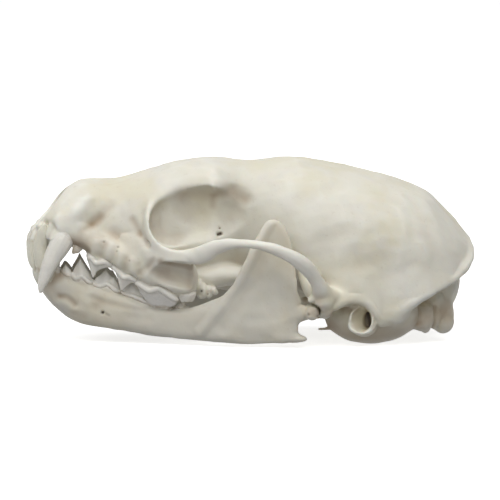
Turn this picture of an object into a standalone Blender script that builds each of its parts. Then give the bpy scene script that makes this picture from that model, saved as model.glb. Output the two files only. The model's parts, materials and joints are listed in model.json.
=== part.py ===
"""A marten skull at life size: the cranium and the two halves of the lower jaw, closed as in life.

Run it in Blender 4.5 with: blender --background --python part.py
The frame: +X runs to the back of the head, -Y is the animal's left side and +Z is up. The skull
rests on the plane z = 0, on its lower jaw and its ear capsules. The table sizes are millimetres,
and a mesh is scaled to metres as it is made. A table with a y in it describes one side, and the
other side is its mirror image.
"""

import math

import bmesh
import bpy
from mathutils import Matrix, Vector

MM = 0.001
SEAM_GAP = 0.3

BONE_VOXEL = 0.42
JAW_VOXEL = 0.34
CRANIUM_FACES = 7600
JAW_FACES = 1900

LOFT_STEPS = 72
LOFT_SIDES = 44
TUBE_SIDES = 14
TOOTH_SIDES = 7
CANINE_SIDES = 10
TOOTH_ROOT = 1.7

BONE_COLOUR = (0.80, 0.76, 0.66, 1.0)
JAW_COLOUR = (0.78, 0.74, 0.64, 1.0)

# Roof of the snout and forehead, then the braincase: x, top, bottom, half width,
# height of the widest point, and the power of the upper and the lower half of the section.
ROOF_STATIONS = (
    (-43.1, 20.7, 19.0, 3.2, 19.9, 2.0, 2.0),
    (-41.8, 22.4, 18.9, 4.6, 20.8, 2.2, 2.2),
    (-39.8, 25.1, 19.5, 6.3, 21.8, 2.3, 2.2),
    (-37.6, 27.9, 19.4, 7.3, 22.3, 2.4, 2.4),
    (-35.6, 29.5, 19.0, 7.6, 22.3, 2.3, 2.4),
    (-33.2, 30.8, 18.6, 7.5, 22.0, 2.2, 2.4),
    (-30.0, 31.1, 18.0, 7.4, 21.5, 2.1, 2.4),
    (-26.5, 31.1, 16.6, 8.4, 20.5, 2.0, 2.6),
    (-23.0, 31.8, 15.0, 10.2, 20.4, 2.0, 2.8),
    (-20.0, 32.7, 14.0, 11.9, 21.8, 2.0, 2.8),
    (-17.0, 33.7, 13.6, 11.4, 25.4, 2.1, 3.2),
    (-14.0, 34.5, 13.4, 10.3, 29.0, 2.2, 3.6),
    (-10.4, 34.9, 13.2, 10.9, 30.0, 2.2, 3.4),
    (-7.6, 35.0, 13.0, 11.9, 29.9, 2.1, 2.5),
    (-4.8, 34.8, 12.8, 10.1, 29.5, 2.1, 2.2),
    (-1.5, 34.5, 12.4, 9.3, 27.4, 2.2, 2.1),
    (2.0, 34.6, 11.6, 10.6, 24.4, 2.2, 2.1),
    (6.0, 35.1, 10.0, 13.2, 21.5, 2.2, 2.2),
    (10.0, 35.0, 8.4, 15.1, 19.8, 2.2, 2.5),
    (15.0, 34.0, 7.4, 16.4, 18.4, 2.2, 3.0),
    (20.0, 33.0, 7.0, 17.0, 17.2, 2.2, 3.6),
    (25.0, 31.8, 6.8, 17.2, 16.2, 2.2, 4.0),
    (30.0, 30.1, 7.2, 16.9, 14.8, 2.2, 4.0),
    (34.0, 28.2, 8.4, 15.9, 14.0, 2.2, 4.0),
    (37.0, 25.2, 10.0, 14.2, 13.8, 2.2, 4.0),
    (39.4, 22.4, 12.0, 12.2, 14.4, 2.2, 3.6),
    (41.2, 20.4, 13.4, 9.0, 15.4, 2.2, 3.0),
    (42.6, 18.4, 14.8, 4.6, 16.4, 2.0, 2.0),
)

# Palate, the keel behind it and the skull base: the same columns.
BASE_STATIONS = (
    (-42.2, 21.0, 19.0, 3.4, 20.4, 2.4, 2.4),
    (-38.0, 22.5, 19.8, 5.6, 21.0, 2.6, 2.6),
    (-34.0, 22.0, 18.8, 6.4, 20.4, 2.6, 2.8),
    (-29.0, 21.0, 16.9, 6.8, 19.0, 2.6, 3.0),
    (-24.0, 20.0, 14.8, 8.0, 17.4, 2.6, 3.0),
    (-19.0, 19.0, 12.7, 9.2, 16.0, 2.6, 3.0),
    (-14.0, 18.0, 11.2, 9.0, 15.0, 2.6, 3.0),
    (-10.0, 18.0, 10.7, 6.6, 14.6, 2.6, 3.0),
    (-5.0, 18.0, 10.4, 5.2, 14.4, 2.6, 3.2),
    (1.0, 17.0, 9.6, 5.0, 14.0, 2.6, 3.2),
    (8.0, 15.0, 6.9, 6.2, 12.4, 2.6, 3.2),
    (15.0, 13.0, 6.0, 7.4, 10.6, 2.6, 3.4),
    (24.0, 12.0, 5.8, 8.4, 9.6, 2.6, 3.4),
    (32.0, 12.0, 4.4, 9.0, 9.0, 2.6, 3.0),
    (37.0, 11.0, 3.6, 7.4, 8.0, 2.4, 2.4),
)

# Rim of the eye socket and the cheek arch: x, y, z, half height, half thickness.
CHEEK_ARCH = (
    (-18.2, 9.0, 28.2, 1.2, 1.0),
    (-19.9, 10.8, 25.4, 1.3, 1.0),
    (-20.1, 12.2, 22.4, 1.4, 1.1),
    (-18.6, 13.5, 19.6, 1.5, 1.2),
    (-15.2, 15.2, 17.6, 1.4, 1.2),
    (-11.8, 17.2, 17.3, 1.7, 1.2),
    (-8.9, 19.0, 18.7, 1.5, 1.1),
    (-5.6, 20.8, 19.8, 1.25, 1.0),
    (-2.2, 22.4, 20.2, 0.95, 1.0),
    (1.6, 23.4, 19.6, 1.0, 1.0),
    (5.2, 23.7, 18.2, 1.1, 1.0),
    (8.2, 23.1, 16.3, 1.3, 1.1),
    (10.4, 21.8, 14.2, 1.35, 1.3),
    (12.0, 20.0, 11.8, 1.6, 1.5),
    (13.4, 18.1, 10.0, 1.7, 1.8),
    (15.2, 16.2, 9.2, 1.6, 1.9),
    (17.8, 15.2, 8.7, 1.3, 1.5),
)

# Wall from the cheek arch's front root down to the cheek teeth.
CHEEK_WALL = (
    (-22.6, 9.8, 16.4, 3.4, 1.6),
    (-20.2, 11.2, 15.4, 4.0, 1.8),
    (-17.0, 12.3, 14.2, 4.2, 1.8),
    (-14.0, 12.8, 13.4, 4.1, 1.7),
    (-11.7, 13.2, 13.2, 3.9, 1.3),
)
CHEEK_SHELF = (
    (-21.4, 10.8, 17.8, 3.0, 1.8),
    (-18.4, 12.4, 16.8, 2.2, 2.2),
    (-15.2, 14.2, 16.0, 1.9, 2.4),
    (-12.4, 15.8, 16.2, 1.7, 1.9),
)

# Bone that holds the upper cheek teeth: x, y, z, half height, half thickness.
UPPER_RIDGE = (
    (-38.0, 6.4, 24.0, 1.7, 1.5),
    (-35.8, 6.8, 22.4, 2.1, 1.7),
    (-33.8, 7.1, 20.9, 2.4, 1.7),
    (-31.6, 7.5, 19.8, 2.6, 1.6),
    (-28.8, 8.3, 18.4, 2.5, 1.6),
    (-25.0, 9.6, 16.6, 2.6, 1.7),
    (-21.0, 10.9, 14.6, 3.0, 1.9),
    (-17.0, 11.4, 13.4, 3.2, 1.9),
    (-13.8, 11.2, 12.6, 3.0, 2.0),
    (-11.0, 10.8, 12.5, 2.7, 1.8),
)

# Swelling over the root of the upper canine.
CANINE_ROOT = (
    (-37.0, 7.0, 21.0, 2.1, 1.6),
    (-35.2, 6.8, 23.4, 2.1, 1.6),
    (-33.2, 6.0, 25.8, 1.8, 1.5),
    (-31.2, 5.0, 27.4, 1.4, 1.4),
)

# Edge of the crest across the back of the braincase, down to the mastoid process.
NECK_CREST = (
    (42.1, -0.6, 18.9, 0.9, 0.8),
    (42.4, 3.6, 17.8, 0.9, 0.8),
    (42.4, 7.0, 16.2, 0.9, 0.8),
    (41.3, 10.4, 14.6, 0.9, 0.8),
    (39.2, 13.0, 12.9, 0.9, 0.8),
    (36.2, 15.0, 11.3, 0.9, 0.8),
    (33.0, 16.4, 9.8, 1.0, 0.9),
    (30.0, 17.1, 8.2, 1.2, 1.1),
    (28.0, 17.0, 6.4, 1.4, 1.3),
)

MID_CREST = (
    (16.0, 0.0, 33.2, 0.6, 0.7),
    (22.0, 0.0, 31.9, 0.7, 0.7),
    (28.0, 0.0, 30.2, 0.8, 0.7),
    (34.0, 0.0, 27.5, 0.9, 0.7),
    (38.4, 0.0, 23.2, 1.0, 0.7),
    (41.8, 0.0, 19.0, 1.0, 0.7),
)

# Wing of bone beside the rear nostril, ending in a hook.
PTERYGOID_WING = (
    (-7.0, 4.2, 11.4, 2.0, 0.7),
    (-2.0, 4.0, 10.8, 2.0, 0.6),
    (3.0, 4.2, 9.8, 2.2, 0.6),
    (6.4, 4.6, 8.4, 1.6, 0.6),
    (8.6, 5.0, 7.0, 0.8, 0.6),
)

# Ridge from the cheek arch's rear root, over the ear opening, to the mastoid process.
EAR_SHELF = (
    (12.6, 15.8, 10.0, 1.8, 1.7),
    (15.4, 15.0, 8.8, 1.4, 1.5),
    (18.8, 14.9, 8.4, 1.3, 1.3),
    (22.4, 15.2, 8.0, 1.3, 1.3),
    (26.0, 15.8, 7.4, 1.6, 1.3),
)

# Needle of bone that stands forward from the ear capsule.
STYLE_OF_EAR = (
    (17.2, 9.2, 3.0, 0.34, 0.34),
    (14.8, 9.6, 2.5, 0.3, 0.3),
    (12.4, 9.9, 2.3, 0.3, 0.3),
)

# Rounded bosses of one side: centre, radii, and the turn about X, Y and Z in degrees.
EAR_CAPSULE = ((22.7, 10.2, 5.3), (9.3, 5.0, 5.85), (0.0, 0.0, 10.0))
EAR_CAPSULE_REAR = ((27.0, 12.4, 6.2), (4.6, 4.2, 4.6), (0.0, 0.0, 0.0))
MASTOID = ((26.8, 16.2, 6.2), (2.8, 1.8, 2.6), (0.0, 0.0, 0.0))
PAROCCIPITAL = ((32.6, 10.8, 4.5), (2.4, 2.0, 2.8), (0.0, 0.0, 0.0))
NECK_CONDYLE = ((36.7, 6.6, 4.7), (2.6, 2.8, 4.0), (-24.0, 0.0, 12.0))
CONDYLE_ROOT = ((34.0, 7.0, 5.6), (4.2, 3.4, 3.6), (0.0, 0.0, 0.0))
OCCIPUT_SWELL = ((36.9, 0.0, 9.7), (4.1, 8.9, 5.1), (0.0, 0.0, 0.0))
SOCKET_BLOCK = ((12.7, 15.6, 8.5), (2.6, 5.6, 2.8), (0.0, 0.0, 0.0))
EAR_TUBE = (((22.0, 11.6, 4.9), 3.2), ((19.9, 17.2, 4.2), 2.6))

# Cutters of one side.
EYE_SOCKET = ((-11.2, 16.9, 24.9), (9.3, 8.9, 6.9), (0.0, 0.0, 0.0))
SNOUT_HOLLOW = ((-29.4, 10.2, 23.4), (3.4, 3.0, 3.4), (0.0, 30.0, 0.0))
CHEEK_FORAMEN = (((-25.0, 12.2, 18.2), 1.2), ((-17.4, 11.6, 19.4), 1.2))
EAR_OPENING = (((21.2, 12.6, 4.7), 1.4), ((19.8, 18.6, 4.1), 2.0))
BROW_HOLLOW = ((-4.6, 13.9, 23.4), (6.4, 5.6, 7.0), (0.0, 0.0, -6.0))
CANINE_NOTCH = (((-41.3, 6.6, 14.0), 2.4), ((-40.0, 6.7, 23.2), 2.1))

# Cutters on the mid line.
NOSE_CAVITY = ((-35.6, 0.0, 25.4), (11.0, 3.8, 3.7), (0.0, -4.0, 0.0))
NOSE_MOUTH = ((-41.4, 0.0, 25.8), (4.6, 3.6, 3.6), (0.0, -38.0, 0.0))
BRAIN_CAVITY = ((27.4, 0.0, 13.4), (10.0, 7.6, 5.4), (0.0, 0.0, 0.0))
NECK_HOLE = (
    (31.0, 0.0, 8.8, 3.1, 4.2),
    (36.0, 0.0, 8.0, 3.3, 4.7),
    (43.0, 0.0, 6.8, 3.6, 5.1),
)
REAR_NOSTRIL = ((3.0, 0.0, 8.8), (10.4, 2.9, 3.0), (0.0, 10.0, 0.0))

# Jaw joint: a transverse bar on each half of the lower jaw, in a trough of the cranium.
JOINT_X = 10.8
JOINT_Z = 6.4
JOINT_INNER_Y = 12.2
JOINT_OUTER_Y = 20.3
JOINT_RADIUS = 1.35

# Lower jaw, one side: x, top, bottom, middle y, half thickness, section power.
JAW_STATIONS = (
    (-42.6, 13.7, 12.5, 2.0, 1.6, 2.2),
    (-41.5, 14.0, 10.4, 2.6, 2.3, 2.4),
    (-39.6, 14.1, 7.7, 2.9, 2.6, 2.6),
    (-37.4, 13.7, 5.5, 3.1, 2.8, 2.6),
    (-35.4, 12.7, 4.0, 3.5, 2.8, 2.6),
    (-33.2, 11.8, 3.1, 4.3, 2.6, 2.6),
    (-30.4, 10.8, 2.6, 5.5, 2.2, 2.6),
    (-27.0, 9.7, 2.2, 6.6, 2.0, 2.6),
    (-23.4, 8.5, 1.7, 7.6, 2.0, 2.6),
    (-19.6, 6.7, 1.1, 8.6, 1.9, 2.6),
    (-15.4, 6.4, 0.8, 9.8, 1.9, 2.6),
    (-11.4, 7.1, 0.5, 11.5, 2.0, 2.6),
    (-8.0, 8.4, 0.35, 13.1, 1.9, 2.6),
    (-5.4, 10.0, 0.25, 14.3, 1.7, 2.8),
    (-3.5, 12.6, 0.2, 14.9, 1.5, 2.8),
    (-1.8, 16.0, 0.15, 15.4, 1.3, 3.0),
    (-0.1, 19.6, 0.15, 15.8, 1.1, 3.2),
    (1.7, 22.8, 0.2, 16.1, 1.0, 3.2),
    (3.3, 24.2, 0.3, 16.3, 0.95, 3.4),
    (4.9, 23.7, 0.4, 16.4, 0.95, 3.4),
    (6.1, 21.9, 0.5, 16.5, 0.9, 3.4),
    (7.1, 19.0, 0.6, 16.6, 0.9, 3.4),
    (7.7, 13.6, 0.8, 16.6, 0.9, 3.2),
    (8.1, 8.6, 1.0, 16.6, 0.9, 2.6),
)

JAW_NECK = (
    (4.4, 16.6, 5.9, 2.6, 1.0),
    (7.4, 16.6, 6.1, 2.1, 1.2),
    (9.4, 16.5, 6.2, 1.5, 1.5),
    (10.6, 16.4, 6.3, 1.2, 1.8),
)
JAW_ANGLE = (
    (3.8, 16.4, 1.6, 1.3, 1.0),
    (6.6, 16.6, 1.5, 1.1, 1.1),
    (8.6, 16.9, 1.35, 0.75, 1.2),
    (9.9, 17.1, 1.2, 0.35, 0.8),
)
CHEWING_HOLLOW = ((2.6, 19.0, 9.6), (6.2, 2.5, 8.2), (0.0, -14.0, 3.0))
SYMPHYSIS_Y = SEAM_GAP / 2

# Middle of the tooth rows in plan: y = first + slope * (x - start).
UPPER_ROW = (-29.4, 8.15, 0.25)
LOWER_ROW = (-33.0, 5.5, 0.222)

# Cheek teeth of one side: x, gum, biting edge and half width along the row.
UPPER_CROWNS = {
    "premolar_2": (
        (-31.7, 16.9, 16.0, 0.35),
        (-31.4, 16.7, 13.9, 0.75),
        (-30.9, 16.0, 12.2, 0.95),
        (-30.1, 15.5, 12.9, 1.0),
        (-29.1, 15.6, 13.7, 0.95),
        (-28.1, 15.9, 14.2, 0.9),
        (-27.2, 15.1, 14.5, 0.4),
    ),
    "premolar_3": (
        (-27.0, 15.0, 14.3, 0.35),
        (-26.4, 14.5, 13.4, 0.85),
        (-25.6, 13.6, 10.0, 1.15),
        (-24.7, 13.0, 10.7, 1.2),
        (-23.6, 13.0, 11.3, 1.1),
        (-22.6, 12.6, 11.3, 0.9),
        (-22.1, 12.2, 11.6, 0.4),
    ),
    "carnassial": (
        (-22.4, 12.3, 11.5, 0.4),
        (-21.9, 12.0, 9.6, 1.0),
        (-20.9, 11.2, 7.9, 1.25),
        (-19.7, 10.6, 6.8, 1.35),
        (-18.4, 10.8, 7.5, 1.25),
        (-17.0, 10.4, 6.9, 1.2),
        (-15.8, 9.7, 6.9, 1.1),
        (-15.0, 9.1, 7.6, 0.9),
        (-14.6, 8.7, 8.1, 0.4),
    ),
}
LOWER_CROWNS = {
    "premolar_2": (
        (-36.7, 13.3, 13.7, 0.35),
        (-36.2, 13.1, 14.5, 0.75),
        (-35.6, 12.9, 14.2, 0.85),
        (-34.9, 12.5, 13.6, 0.7),
        (-34.6, 12.4, 12.9, 0.4),
    ),
    "premolar_3": (
        (-35.0, 12.0, 12.6, 0.35),
        (-34.4, 12.0, 13.9, 0.8),
        (-33.2, 12.1, 15.9, 1.0),
        (-32.2, 11.8, 14.3, 1.0),
        (-31.4, 11.4, 12.7, 0.9),
        (-30.9, 11.3, 11.7, 0.4),
    ),
    "premolar_4": (
        (-30.8, 10.5, 11.0, 0.35),
        (-30.2, 10.2, 11.9, 0.85),
        (-28.4, 10.6, 13.6, 1.05),
        (-27.5, 10.4, 13.3, 1.1),
        (-26.8, 9.9, 12.0, 1.1),
        (-26.2, 9.6, 11.7, 1.0),
        (-25.7, 9.4, 10.6, 0.8),
        (-25.3, 9.2, 9.7, 0.4),
    ),
    "carnassial": (
        (-25.2, 9.2, 9.9, 0.4),
        (-24.6, 9.0, 11.0, 0.9),
        (-23.3, 8.9, 11.5, 1.1),
        (-21.5, 7.7, 10.4, 1.2),
        (-20.4, 7.0, 11.4, 1.25),
        (-18.8, 6.8, 8.9, 1.3),
        (-17.0, 6.7, 8.1, 1.25),
        (-15.7, 6.7, 7.3, 0.6),
    ),
    "molar": (
        (-15.3, 6.7, 7.2, 0.5),
        (-14.7, 6.7, 7.6, 1.1),
        (-13.2, 6.7, 7.6, 1.1),
        (-12.5, 6.7, 7.2, 0.5),
    ),
}

# The upper molar lies across the row: y, gum, biting edge, half length.
UPPER_MOLAR_X = -12.9
UPPER_MOLAR = (
    (12.6, 9.6, 8.4, 0.9),
    (12.1, 9.7, 7.6, 1.5),
    (10.9, 9.8, 7.7, 1.65),
    (9.4, 10.1, 8.5, 1.4),
    (7.9, 10.3, 8.4, 1.9),
    (6.4, 10.4, 8.2, 2.3),
    (5.3, 10.4, 8.9, 1.5),
)

# Single cusps of one side: place at the gum, turn in plan in degrees, height,
# half length, half width, and the shift along X of the root's end, the middle and the tip.
UPPER_CUSPS = {
    "incisor_1": ((-43.0, 1.0, 19.6), 90, 5.2, 0.8, 0.7, (1.0, -0.2, 0.2)),
    "incisor_2": ((-42.9, 2.4, 19.6), 80, 5.4, 0.85, 0.74, (1.0, -0.2, 0.2)),
    "incisor_3": ((-42.5, 3.8, 19.8), 54, 6.0, 1.05, 0.85, (1.0, -0.3, 0.1)),
    "premolar_1": ((-34.2, 7.0, 18.6), 12, 1.7, 0.75, 0.6, (0.0, 0.0, -0.2)),
    "carnassial_inner": ((-21.8, 8.9, 12.2), 12, 0.9, 1.2, 1.2, (0.0, 0.0, 0.0)),
}
LOWER_CUSPS = {
    "incisor_1": ((-41.5, 0.75, 13.4), 90, 2.4, 0.5, 0.5, (0.3, 0.0, 0.1)),
    "incisor_2": ((-41.4, 1.8, 13.4), 86, 2.5, 0.55, 0.5, (0.3, 0.0, 0.1)),
    "incisor_3": ((-41.3, 2.9, 13.4), 80, 2.5, 0.6, 0.5, (0.3, 0.0, 0.1)),
    "premolar_1": ((-37.8, 4.9, 13.6), 14, 1.0, 0.65, 0.65, (0.0, 0.0, 0.0)),
}

# Canines of one side: x, y, z, half length and half width along the tooth, root first.
UPPER_CANINE = (
    (-34.6, 6.1, 23.4, 1.7, 1.2),
    (-36.4, 6.8, 20.9, 2.2, 1.5),
    (-37.5, 7.3, 18.8, 2.15, 1.5),
    (-38.7, 7.7, 16.4, 1.8, 1.35),
    (-39.8, 8.0, 13.6, 1.4, 1.15),
    (-40.6, 8.15, 11.4, 0.95, 0.85),
    (-41.0, 8.2, 10.1, 0.55, 0.5),
    (-41.15, 8.2, 9.4, 0.25, 0.25),
)
LOWER_CANINE = (
    (-38.2, 4.0, 9.8, 1.4, 1.1),
    (-39.5, 4.5, 12.6, 1.7, 1.25),
    (-40.4, 4.8, 15.2, 1.6, 1.15),
    (-40.7, 5.2, 18.0, 1.3, 0.95),
    (-40.4, 5.6, 20.5, 0.8, 0.7),
    (-39.8, 5.8, 22.3, 0.25, 0.25),
)


def smooth_between(rows, at):
    """Values of the table at a point along it, where 0 is its first row and 1 its last.

    The rows are joined by cubic curves whose slopes come from the neighbouring rows.
    """
    last = len(rows) - 1
    place = min(max(at, 0.0), 1.0) * last
    i = min(int(place), last - 1)
    t = place - i
    before, start, end, after = (
        rows[max(i - 1, 0)],
        rows[i],
        rows[i + 1],
        rows[min(i + 2, last)],
    )
    values = []
    for p, a, b, q in zip(before, start, end, after):
        rise_a = (b - p) / 2
        rise_b = (q - a) / 2
        values.append(
            a * (2 * t**3 - 3 * t**2 + 1)
            + rise_a * (t**3 - 2 * t**2 + t)
            + b * (3 * t**2 - 2 * t**3)
            + rise_b * (t**3 - t**2)
        )
    return values


def mesh_object(name, points, faces):
    """A mesh object from points in millimetres, with its faces turned outwards."""
    mesh = bpy.data.meshes.new(name)
    mesh.from_pydata([Vector(p) * MM for p in points], [], faces)
    shaped = bmesh.new()
    shaped.from_mesh(mesh)
    bmesh.ops.recalc_face_normals(shaped, faces=shaped.faces)
    shaped.to_mesh(mesh)
    shaped.free()
    obj = bpy.data.objects.new(name, mesh)
    bpy.context.scene.collection.objects.link(obj)
    return obj


def skin_rings(name, rings):
    """A closed mesh through rings of equal count, with a flat cap at each end."""
    sides = len(rings[0])
    faces = []
    for ring in range(len(rings) - 1):
        for side in range(sides):
            after = (side + 1) % sides
            faces.append(
                (
                    ring * sides + side,
                    ring * sides + after,
                    (ring + 1) * sides + after,
                    (ring + 1) * sides + side,
                )
            )
    faces.append(tuple(reversed(range(sides))))
    faces.append(tuple(range((len(rings) - 1) * sides, len(rings) * sides)))
    return mesh_object(name, [p for ring in rings for p in ring], faces)


def power_part(value, power):
    """A sine or cosine bent to the outline of a superellipse."""
    return math.copysign(abs(value) ** (2 / power), value)


def loft(name, stations, steps=LOFT_STEPS):
    """A body along X whose sections are superellipses, from a table of stations."""
    rings = []
    for step in range(steps + 1):
        x, top, bottom, half_width, middle, power_up, power_down = smooth_between(
            stations, step / steps
        )
        ring = []
        for side in range(LOFT_SIDES):
            angle = 2 * math.pi * side / LOFT_SIDES
            up = math.sin(angle) >= 0
            power = power_up if up else power_down
            reach = top - middle if up else middle - bottom
            y = half_width * power_part(math.cos(angle), power)
            z = middle + reach * power_part(math.sin(angle), power)
            ring.append((x, y, z))
        rings.append(ring)
    return skin_rings(name, rings)


def tube(name, stations, steps=40, sides=TUBE_SIDES):
    """A body along a bent line, with oval sections square to the line.

    Each station holds x, y, z and the section's half height and half thickness.
    """
    rows = [smooth_between(stations, step / steps) for step in range(steps + 1)]
    reach = Vector(rows[-1][:3]) - Vector(rows[0][:3])
    upright = abs(reach.z) > 0.8 * reach.length
    reference = Vector((1, 0, 0)) if upright else Vector((0, 0, 1))
    rings = []
    for i, (x, y, z, half_height, half_width) in enumerate(rows):
        ahead = Vector(rows[min(i + 1, steps)][:3])
        behind = Vector(rows[max(i - 1, 0)][:3])
        along = (ahead - behind).normalized()
        across = along.cross(reference).normalized()
        rise = across.cross(along)
        rings.append(
            [
                Vector((x, y, z))
                + across * half_width * math.cos(2 * math.pi * side / sides)
                + rise * half_height * math.sin(2 * math.pi * side / sides)
                for side in range(sides)
            ]
        )
    return skin_rings(name, rings)


def boss(name, centre, radii, turn):
    """An ellipsoid with its centre, radii and turn."""
    ball = bmesh.new()
    bmesh.ops.create_uvsphere(ball, u_segments=28, v_segments=18, radius=1.0)
    place = Matrix.Translation(Vector(centre))
    for axis, degrees in zip("ZYX", reversed(turn)):
        place = place @ Matrix.Rotation(math.radians(degrees), 4, axis)
    place = place @ Matrix.Diagonal((*radii, 1.0))
    ball.transform(place)
    points = [v.co.copy() for v in ball.verts]
    faces = [[v.index for v in face.verts] for face in ball.faces]
    ball.free()
    return mesh_object(name, points, faces)


def rod(name, ends):
    """A straight round rod between two ends, each a point and a radius."""
    (start, start_radius), (end, end_radius) = ends
    first = (*start, start_radius, start_radius)
    last = (*end, end_radius, end_radius)
    return tube(name, (first, last), steps=4, sides=24)


def mirrored(obj):
    """The same body on the other side of the mid plane."""
    mesh = obj.data.copy()
    mesh.transform(Matrix.Diagonal((1, -1, 1, 1)))
    mesh.flip_normals()
    copy = bpy.data.objects.new(obj.name + "_mirror", mesh)
    bpy.context.scene.collection.objects.link(copy)
    return copy


def both_sides(objects):
    """The bodies of one side and their mirror images."""
    return [*objects, *(mirrored(obj) for obj in objects)]


def apply_modifiers(obj):
    """Replaces the object's mesh by the one its modifiers make."""
    graph = bpy.context.evaluated_depsgraph_get()
    shaped = bpy.data.meshes.new_from_object(obj.evaluated_get(graph))
    obj.modifiers.clear()
    obj.data = shaped


def join_or_cut(obj, others, operation):
    """Applies one Boolean of the object with a collection of closed meshes, then removes them."""
    group = bpy.data.collections.new("pieces")
    bpy.context.scene.collection.children.link(group)
    for other in others:
        group.objects.link(other)
    boolean = obj.modifiers.new(operation, "BOOLEAN")
    boolean.operation = operation
    boolean.operand_type = "COLLECTION"
    boolean.collection = group
    boolean.solver = "MANIFOLD"
    apply_modifiers(obj)
    for other in others:
        bpy.data.objects.remove(other)
    bpy.data.collections.remove(group)


def soften(obj, voxel, rounds, faces):
    """Turns hard joins into the flowing surface of bone, and keeps the count of faces small."""
    remesh = obj.modifiers.new("Remesh", "REMESH")
    remesh.mode = "VOXEL"
    remesh.voxel_size = voxel * MM
    smooth = obj.modifiers.new("Smooth", "SMOOTH")
    smooth.factor = 0.5
    smooth.iterations = rounds
    apply_modifiers(obj)
    keep_largest_shell(obj)
    triangles = sum(len(face.vertices) - 2 for face in obj.data.polygons)
    decimate = obj.modifiers.new("Decimate", "DECIMATE")
    decimate.ratio = faces / triangles
    decimate.use_collapse_triangulate = True
    apply_modifiers(obj)


def keep_largest_shell(obj):
    """Removes all but the largest closed surface of the mesh."""
    shaped = bmesh.new()
    shaped.from_mesh(obj.data)
    unseen = set(shaped.verts)
    shells = []
    while unseen:
        shell = {unseen.pop()}
        edge_of_search = list(shell)
        while edge_of_search:
            vert = edge_of_search.pop()
            for edge in vert.link_edges:
                other = edge.other_vert(vert)
                if other in unseen:
                    unseen.remove(other)
                    shell.add(other)
                    edge_of_search.append(other)
        shells.append(shell)
    largest = max(shells, key=len)
    loose = [vert for vert in shaped.verts if vert not in largest]
    bmesh.ops.delete(shaped, geom=loose, context="VERTS")
    shaped.to_mesh(obj.data)
    shaped.free()


def crown(name, path, tables, way):
    """A blade-like tooth with its root: way is -1 for the upper jaw and 1 for the lower.

    The path holds x and y of each station, and the tables its gum, edge and half width.
    """
    rings = []
    last = len(path) - 1
    for i, ((x, y), (gum, edge, half_width)) in enumerate(zip(path, tables)):
        ahead = Vector(path[min(i + 1, last)])
        behind = Vector(path[max(i - 1, 0)])
        along = (ahead - behind).normalized()
        outline = (
            (-0.2, edge),
            (-0.82, gum + 0.5 * (edge - gum)),
            (-1.0, gum),
            (-0.75, gum - way * TOOTH_ROOT),
            (0.75, gum - way * TOOTH_ROOT),
            (1.0, gum),
            (0.82, gum + 0.5 * (edge - gum)),
            (0.2, edge),
        )
        rings.append(
            [
                (x - along.y * half_width * side, y + along.x * half_width * side, z)
                for side, z in outline
            ]
        )
    return skin_rings(name, rings)


def row_crown(name, row, stations, way):
    """A crown whose stations lie along a tooth row."""
    start, first, slope = row
    path = [(x, first + slope * (x - start)) for x, *_ in stations]
    return crown(name, path, [rest for _, *rest in stations], way)


def cusp(name, gum, turn, height, half_length, half_width, shifts, way):
    """A single-cusped tooth with its root."""
    turn = math.radians(turn)
    row = Vector((math.cos(turn), math.sin(turn), 0.0))
    out = Vector((-math.sin(turn), math.cos(turn), 0.0))
    root, middle, tip = shifts
    levels = (
        (-TOOTH_ROOT, 0.75, root),
        (0.0, 1.0, 0.0),
        (0.55 * height, 0.8, middle),
        (height, 0.22, tip),
    )
    rings = []
    for reach, size, shift in levels:
        centre = Vector(gum) + Vector((shift, 0, way * reach))
        rings.append(
            [
                centre
                + row * half_length * size * math.cos(2 * math.pi * side / TOOTH_SIDES)
                + out * half_width * size * math.sin(2 * math.pi * side / TOOTH_SIDES)
                for side in range(TOOTH_SIDES)
            ]
        )
    return skin_rings(name, rings)


def upper_teeth():
    """The upper teeth of one side."""
    path = [(UPPER_MOLAR_X, y) for y, *_ in UPPER_MOLAR]
    return [
        tube("upper_canine", UPPER_CANINE, steps=8, sides=CANINE_SIDES),
        crown("upper_molar", path, [rest for _, *rest in UPPER_MOLAR], -1),
        *(row_crown("upper_" + n, UPPER_ROW, rows, -1) for n, rows in UPPER_CROWNS.items()),
        *(cusp("upper_" + n, *sizes, -1) for n, sizes in UPPER_CUSPS.items()),
    ]


def lower_teeth():
    """The lower teeth of one side."""
    return [
        tube("lower_canine", LOWER_CANINE, steps=8, sides=CANINE_SIDES),
        *(row_crown("lower_" + n, LOWER_ROW, rows, 1) for n, rows in LOWER_CROWNS.items()),
        *(cusp("lower_" + n, *sizes, 1) for n, sizes in LOWER_CUSPS.items()),
    ]


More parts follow.
